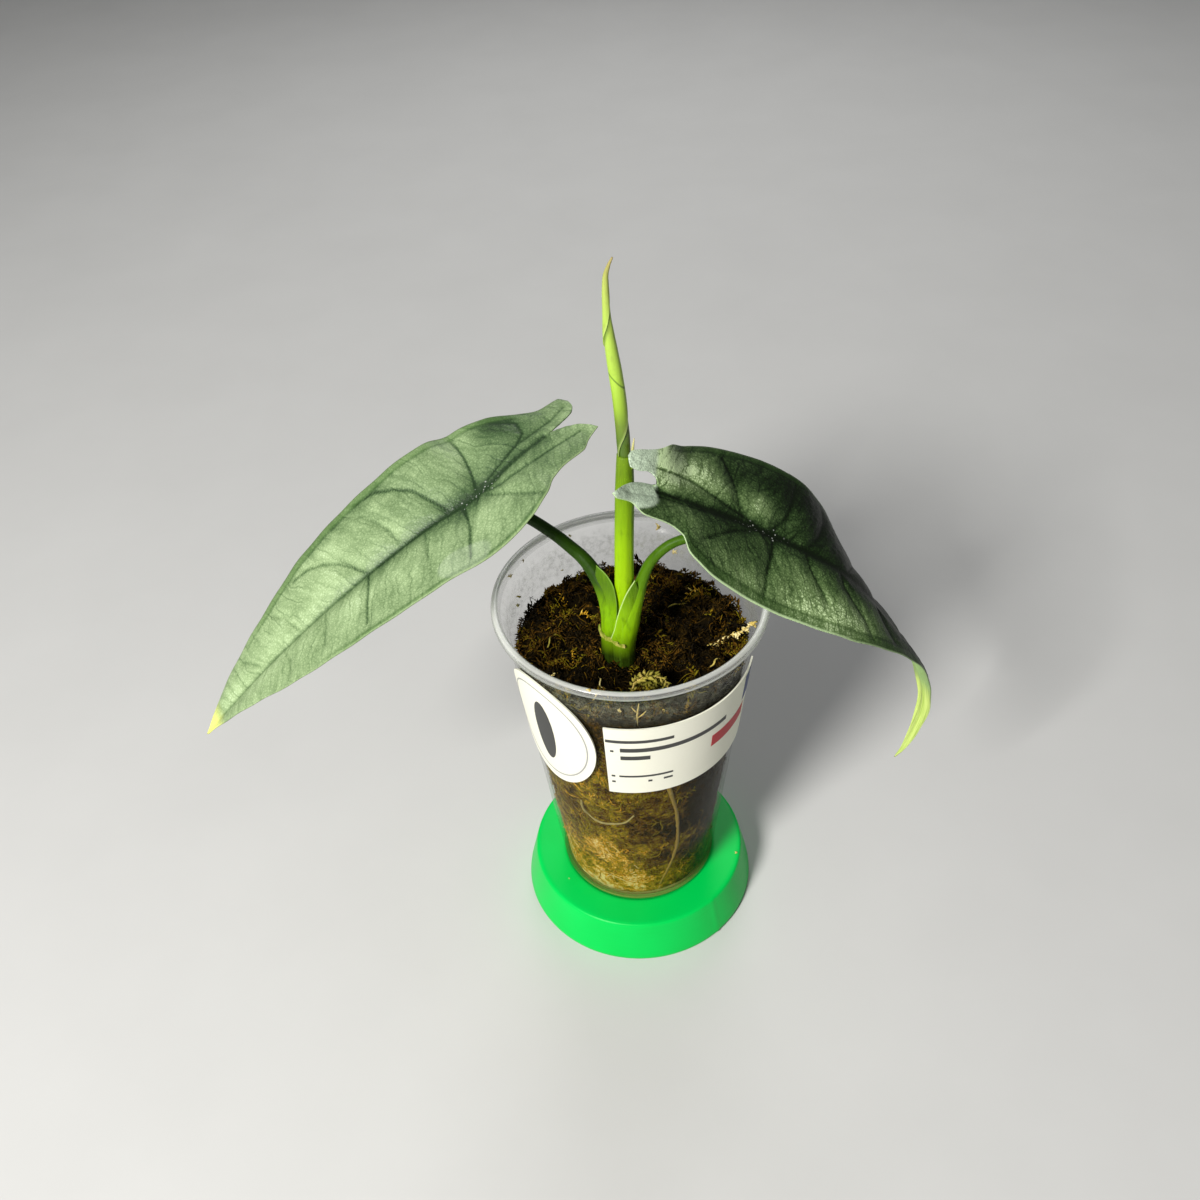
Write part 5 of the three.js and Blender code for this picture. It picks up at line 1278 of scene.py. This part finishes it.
def wall_strands(count):
    """Strands pressed against the wall."""
    path, facing, tint = wall_paths(count, STRAND_STEPS, 3, 14, bend_by=1.5, depth_low=0.4, depth_high=0.9)
    count = len(path)
    wide = strand_widths(count, 0.34)
    tint = np.clip(tint + rng.normal(0.0, 0.10, count), 0, 1)
    sheet = Sheet()
    add_tubes(sheet, path, wide, np.minimum(wide * 0.4, 0.15), 4, facing, tint=tint)
    return piece("moss_wall_strands", sheet, [strand_paint("moss_wall_tints", MOSS_STOPS)])


def wall_sprigs(count):
    """Feathery sprigs pressed against the wall."""
    path, facing, tint = wall_paths(count, SPRIG_STEPS, 4, 11, bend_by=1.2, depth_low=0.45, depth_high=0.85)
    count = len(path)
    size = rng.uniform(0.9, 1.9, count)
    tint = np.clip(tint + rng.normal(0, 0.08, count), 0, 1)
    sheet = Sheet()
    add_sprigs(sheet, path, size, facing, tint, LEAFLETS, 0.22)
    return piece("moss_wall_sprigs", sheet, [strand_paint("moss_wall_sprig_tints", MOSS_STOPS)])


moss_bed()
top_strands(count=620)
top_sprigs(count=720)
wall_strands(count=900)
wall_sprigs(count=720)


def bold_strands():
    """The few thick strands that stand out on top, with the pale curled sprig in front."""
    arcs = [((-16, -30), (-10, -27), 2.5, 0.32, 0.88), ((-26, -24), (-20, -27), 2.0, 0.4, 0.84),
            ((24, -20), (31, -14), 2.5, 0.35, 0.76), ((14, -28), (24, -27), 3.0, 0.3, 0.70),
            ((-31, -8), (-25, 2), 2.5, 0.3, 0.62), ((12, 12), (22, 16), 2.5, 0.35, 0.74),
            ((-12, 18), (-2, 24), 2.5, 0.3, 0.74), ((-13.2, -19.6), (-9.9, -26.9), 2.0, 0.25, 0.9)]
    steps = 28
    share = np.linspace(0, 1, steps)
    sheet = Sheet()
    for (x, y), (ex, ey), rise, radius, tint in arcs:
        px = x + (ex - x) * share + 0.8 * np.sin(share * 7)
        py = y + (ey - y) * share + 0.6 * np.cos(share * 5)
        pz = moss_height(px, py) - 1.0 + rise * np.sin(share * math.pi)
        size = radius * (0.6 + 0.4 * np.sin(share * math.pi))[None]
        path = np.stack([px, py, pz], -1)[None]
        add_tubes(sheet, path, size, size * 0.7, 10, UP, tint=[tint])
    curls = [(6.0, -28.4, 9.6, 2.5, 0.66), (4.9, -27.2, 8.0, 2.6, 0.44), (3.2, -26.6, 5.6, 2.6, 0.38),
             (1.6, -27.6, 3.6, 2.2, 0.5)]
    for reach, back, top, sprig, tint in curls:
        turn = share * math.pi * 1.15 + 0.16 * np.sin(share * 11 + reach)
        height = top * np.sin(np.clip(turn, 0.0, math.pi)) ** 0.75 - 2.0 * (turn > math.pi)
        curl = np.stack([4.6 - reach * np.cos(turn), back - 1.5 * np.sin(turn), 133.0 + height], -1)
        curl += rng.normal(0, 0.12, curl.shape)
        size = (0.34 - 0.16 * share)[None]
        add_tubes(sheet, curl[None], size, size, 10, (0.0, -1.0, 0.3), tint=[tint + 0.16])
        for turned in (np.array([0.0, -0.8, 0.6]), np.array([0.0, 0.6, 0.8])):
            add_sprigs(sheet, curl[None, ::3], np.array([sprig]), turned, np.array([tint]), 21, 0.34)
    return piece("moss_bold_strands", sheet, [strand_paint("moss_bold_tints", DRY_STOPS, 0.6)])


def add_flakes(sheet, centre, size, tint, count, facing):
    """A small clump of torn moss flakes round a place."""
    for _ in range(count):
        way = unit(rng.normal(0, 1, 3) * [1, 1, 0.7])
        middle = centre + rng.normal(0, 0.35, 3) * size
        path = np.array([middle - way * size, middle + rng.normal(0, 0.12, 3) * size, middle + way * size])
        wide = size * np.array([[0.25, 0.5, 0.15]]) * rng.uniform(0.7, 1.2)
        add_tubes(sheet, path[None], wide, wide * 0.45, 6, facing, tint=[tint + rng.normal(0, 0.05)])


def loose_bits():
    """Bits stuck inside the cup and on its lip, and the chain of crumbs at the right rim."""
    sheet = Sheet()
    wall_bits = [
        (-112, 149.3, 44.2, 0.9, 0.90), (-124, 149.0, 44.2, 0.55, 0.88), (-153, 147.6, 43.4, 0.6, 0.95),
        (-145, 136.0, 41.0, 0.45, 0.86), (163, 147.6, 43.3, 1.1, 0.90), (154, 138.4, 41.2, 0.9, 1.0),
        (-111, 140.6, 41.6, 0.8, 0.62), (-108, 138.4, 41.4, 0.7, 0.58), (-8.5, 138.7, 41.4, 0.7, 0.92),
        (-19, 152.2, 46.4, 0.7, 0.92), (-40, 137.5, 41.2, 0.5, 0.86), (12, 137.2, 41.2, 0.5, 0.74)]
    for azimuth, z, radius, size, tint in wall_bits:
        turn = math.radians(azimuth)
        add_flakes(sheet, on_wall(azimuth, z, 0, radius), size, tint, 4,
                   (math.sin(turn), -math.cos(turn), 0.1))
    sprig = [((0.4, 142.3), (-0.6, 136.0), (-0.3, 130.5)), ((0.0, 137.0), (-1.6, 138.6), (-2.9, 140.4)),
             ((-0.2, 134.8), (2.0, 136.4), (3.6, 138.2))]
    for line in sprig:
        path = np.array([on_wall(az, z, 0, inner_radius(z) - 0.45) for az, z in line])
        wide = np.array([[0.2, 0.3, 0.12]])
        add_tubes(sheet, path[None], wide, wide * 0.7, 6, (0.0, -1.0, 0.0), tint=[0.86])
    chain = [(27.3, -8.3, 134), (30.1, -7.6, 134.5), (33, -6.4, 135.2), (35.8, -6.2, 136.4),
             (38.1, -6.5, 138.4), (39.8, -7.6, 141.0), (41.2, -8.9, 144.2)]
    for place in resample(chain, 17):
        centre = place + rng.normal(0, 0.25, 3)
        size = rng.uniform(0.55, 1.15)
        add_flakes(sheet, centre, size, rng.uniform(0.80, 1.0), 5, UP)
    stray = [((38.8, -10.4, 18.2), 0.6, 0.9), ((-28.9, -18.1, 18.1), 0.3, 1.0),
             ((-27.4, -18.9, 135), 1.2, 0.9)]
    for place, size, tint in stray:
        add_flakes(sheet, np.array(place), size, tint, 3, UP)
    return piece("moss_loose_bits", sheet, [strand_paint("moss_bit_tints", DRY_STOPS, 0.7)])


loose_bits()
bold_strands()

# Labels


def add_wall_sheet(sheet, azimuths, heights, low, high, mark=0, wrap=False):
    """A thin closed sheet that follows the wall, from grids of azimuth and height; wrap joins the
    ends of each row, for a ring or a disc."""
    rows, columns = azimuths.shape
    size = rows * columns
    top = grid_faces(rows, columns, wrap=wrap).tolist()
    under = [[k + size for k in face[::-1]] for face in top]
    edges = {(a, b) for face in top for a, b in zip(face, face[1:] + face[:1])}
    sides = [[b, a, a + size, b + size] for a, b in sorted(edges) if (b, a) not in edges]
    points = np.stack([on_wall(azimuths, heights, high), on_wall(azimuths, heights, low)])
    sheet.add(points, top + under + sides, mark)


def paper_paint(name, colour, shade):
    """Paper or ink with a fine grain and a soft cloud."""
    paint = Paint(name, specular=0.25)
    place = paint.place()
    fibre = paint.noise(place, 0.9, 4.0)
    cloud = paint.noise(place, 0.08, 2.0)
    mixed = paint.mix(paint.times(paint.plus(fibre, cloud), 0.4), colour, shade)
    return paint.finish(mixed, paint.bump(fibre, 0.06, 0.4))


PAPER = 0.6
INK_LIFT = GAP + 0.62
INK = 0.05


def print_bar(sheet, from_az, to_az, low_z, high_z, mark):
    """One printed bar on the card, between two azimuths and two heights."""
    columns = max(2, int((to_az - from_az) / 1.5))
    az, z = np.meshgrid(np.linspace(from_az, to_az, columns + 1), np.linspace(low_z, high_z, 2))
    add_wall_sheet(sheet, az, z, INK_LIFT, INK_LIFT + INK, mark)


paper = paper_paint("label_paper", (0.84, 0.83, 0.71), (0.76, 0.75, 0.63))
grey_ink = paper_paint("label_grey_ink", (0.30, 0.30, 0.29), (0.42, 0.42, 0.40))
dark_ink = paper_paint("label_dark_ink", (0.035, 0.035, 0.035), (0.07, 0.07, 0.065))
red_ink = paper_paint("label_red_ink", (0.50, 0.012, 0.02), (0.38, 0.02, 0.03))
blue_ink = paper_paint("label_blue_ink", (0.03, 0.05, 0.20), (0.05, 0.07, 0.16))

CARD_AZIMUTHS, CARD_HEIGHTS = (-16, 74), (94.5, 131)
# Bars on the card: first and last azimuth, foot and height of each
CARD_ROWS = [(-15.5, 16.0, 123.6, 1.5), (-9.0, 46.5, 118.6, 2.1), (-9.0, 5.0, 114.2, 2.1),
             (-14.0, -12.2, 104.0, 1.0), (-10.2, 16.5, 104.0, 1.0), (-14.0, -12.2, 100.6, 1.0),
             (4.0, 6.0, 101.0, 1.0), (11.8, 16.4, 101.2, 1.0), (-13.6, -12.0, 118.4, 1.0)]
sheet = Sheet()
az, z = np.meshgrid(np.linspace(*CARD_AZIMUTHS, 91), np.linspace(*CARD_HEIGHTS, 25))
add_wall_sheet(sheet, az, z, GAP, GAP + PAPER)
for start, end, foot, tall in CARD_ROWS:
    print_bar(sheet, start, end, foot, foot + tall, mark=1)
print_bar(sheet, 38, 66, 108.5, 114.5, mark=2)
print_bar(sheet, 63, 73, 117, 129, mark=3)
piece("label_card_sheet", sheet, [paper, dark_ink, red_ink, blue_ink], ("label_card",), sharp=40)


OVAL_AZIMUTH, OVAL_Z, OVAL_HALF_WIDE, OVAL_HALF_HIGH = -50.0, 115.6, 20.5, 25.8


def oval_label():
    """Plain white oval with a thin grey ring and a plain dark ellipse."""
    sheet = Sheet()
    turn_per_mm = math.degrees(1 / (inner_radius(OVAL_Z) + WALL))

    def disc(scale_in, scale_out, low, high, mark, rings, squeeze=1.0, tall=1.0):
        turn = full_turn(96)
        share = np.linspace(scale_in, scale_out, rings + 1)[:, None]
        az = OVAL_AZIMUTH + OVAL_HALF_WIDE * turn_per_mm * share * squeeze * np.cos(turn)
        z = OVAL_Z + OVAL_HALF_HIGH * share * tall * np.sin(turn)
        add_wall_sheet(sheet, az, z, low, high, mark, wrap=True)

    disc(0.0, 1.0, GAP, GAP + PAPER, mark=0, rings=24)
    disc(0.84, 0.865, INK_LIFT, GAP + 0.66, mark=1, rings=1)
    disc(0.0, 0.54, INK_LIFT, GAP + 0.66, mark=2, rings=6, squeeze=0.40, tall=1.08)
    return piece("label_oval_sheet", sheet, [paper, grey_ink, dark_ink], ("label_oval",),
                 weld=0.02, sharp=40)


oval_label()

# Floor, light and camera


def floor_piece():
    """The plain pale floor."""
    bm = bmesh.new()
    bmesh.ops.create_grid(bm, x_segments=40, y_segments=40, size=1.6)
    mesh = bpy.data.meshes.new("floor")
    bm.to_mesh(mesh)
    bm.free()
    paint = Paint("floor_pale", roughness=0.75, specular=0.2)
    soft = paint.noise(paint.place((1, 1, 1)), 14.0, 4.0)
    colour = paint.mix(soft, (0.56, 0.56, 0.55), (0.61, 0.61, 0.60))
    mesh.materials.append(paint.finish(colour, paint.bump(soft, 0.3, 0.1)))
    floor = bpy.data.objects.new("floor", mesh)
    bpy.context.scene.collection.objects.link(floor)


def area_light(name, place, aim, size, power, colour=(1, 1, 1)):
    """A round soft light at a place, turned to face its aim."""
    lamp = bpy.data.lights.new(name, "AREA")
    lamp.shape = "DISK"
    lamp.size = size
    lamp.energy = power
    lamp.color = colour
    made = bpy.data.objects.new(name, lamp)
    made.location = place
    made.rotation_euler = (Vector(aim) - Vector(place)).to_track_quat("-Z", "Y").to_euler()
    bpy.context.scene.collection.objects.link(made)


floor_piece()
area_light("key_light", (-0.64, -0.85, 0.92), (0, 0, 0.14), 0.35, 26.5, (1.0, 0.985, 0.95))
area_light("fill_light", (0.9, -0.8, 0.7), (0, 0, 0.12), 0.9, 0.3)
area_light("back_light", (0.1, 1.0, 0.9), (0, 0, 0.16), 0.7, 4.5)

world = bpy.data.worlds.new("studio")
world.use_nodes = True
background = world.node_tree.nodes["Background"]
background.inputs["Color"].default_value = (0.95, 0.97, 1.0, 1)
background.inputs["Strength"].default_value = 0.13
bpy.context.scene.world = world
bpy.context.scene.view_settings.view_transform = "Standard"

PITCH, ROLL = math.radians(41.98), math.radians(-3.30)
CAMERA_PLACE = Vector((-0.0102, -0.3156, 0.4342))
LENS, SENSOR_WIDTH = 37.5, 36
ahead = Vector((0, math.cos(PITCH), -math.sin(PITCH)))
right = Vector((1, 0, 0))
above = right.cross(ahead)
turned_right = math.cos(ROLL) * right + math.sin(ROLL) * above
turned_up = -math.sin(ROLL) * right + math.cos(ROLL) * above
lens = bpy.data.cameras.new("camera")
lens.lens = LENS
lens.sensor_width = SENSOR_WIDTH
lens.clip_start = 0.01
camera = bpy.data.objects.new("camera", lens)
camera.matrix_world = Matrix((
    (turned_right.x, turned_up.x, -ahead.x, CAMERA_PLACE.x),
    (turned_right.y, turned_up.y, -ahead.y, CAMERA_PLACE.y),
    (turned_right.z, turned_up.z, -ahead.z, CAMERA_PLACE.z),
    (0, 0, 0, 1)))
bpy.context.scene.collection.objects.link(camera)
bpy.context.scene.camera = camera
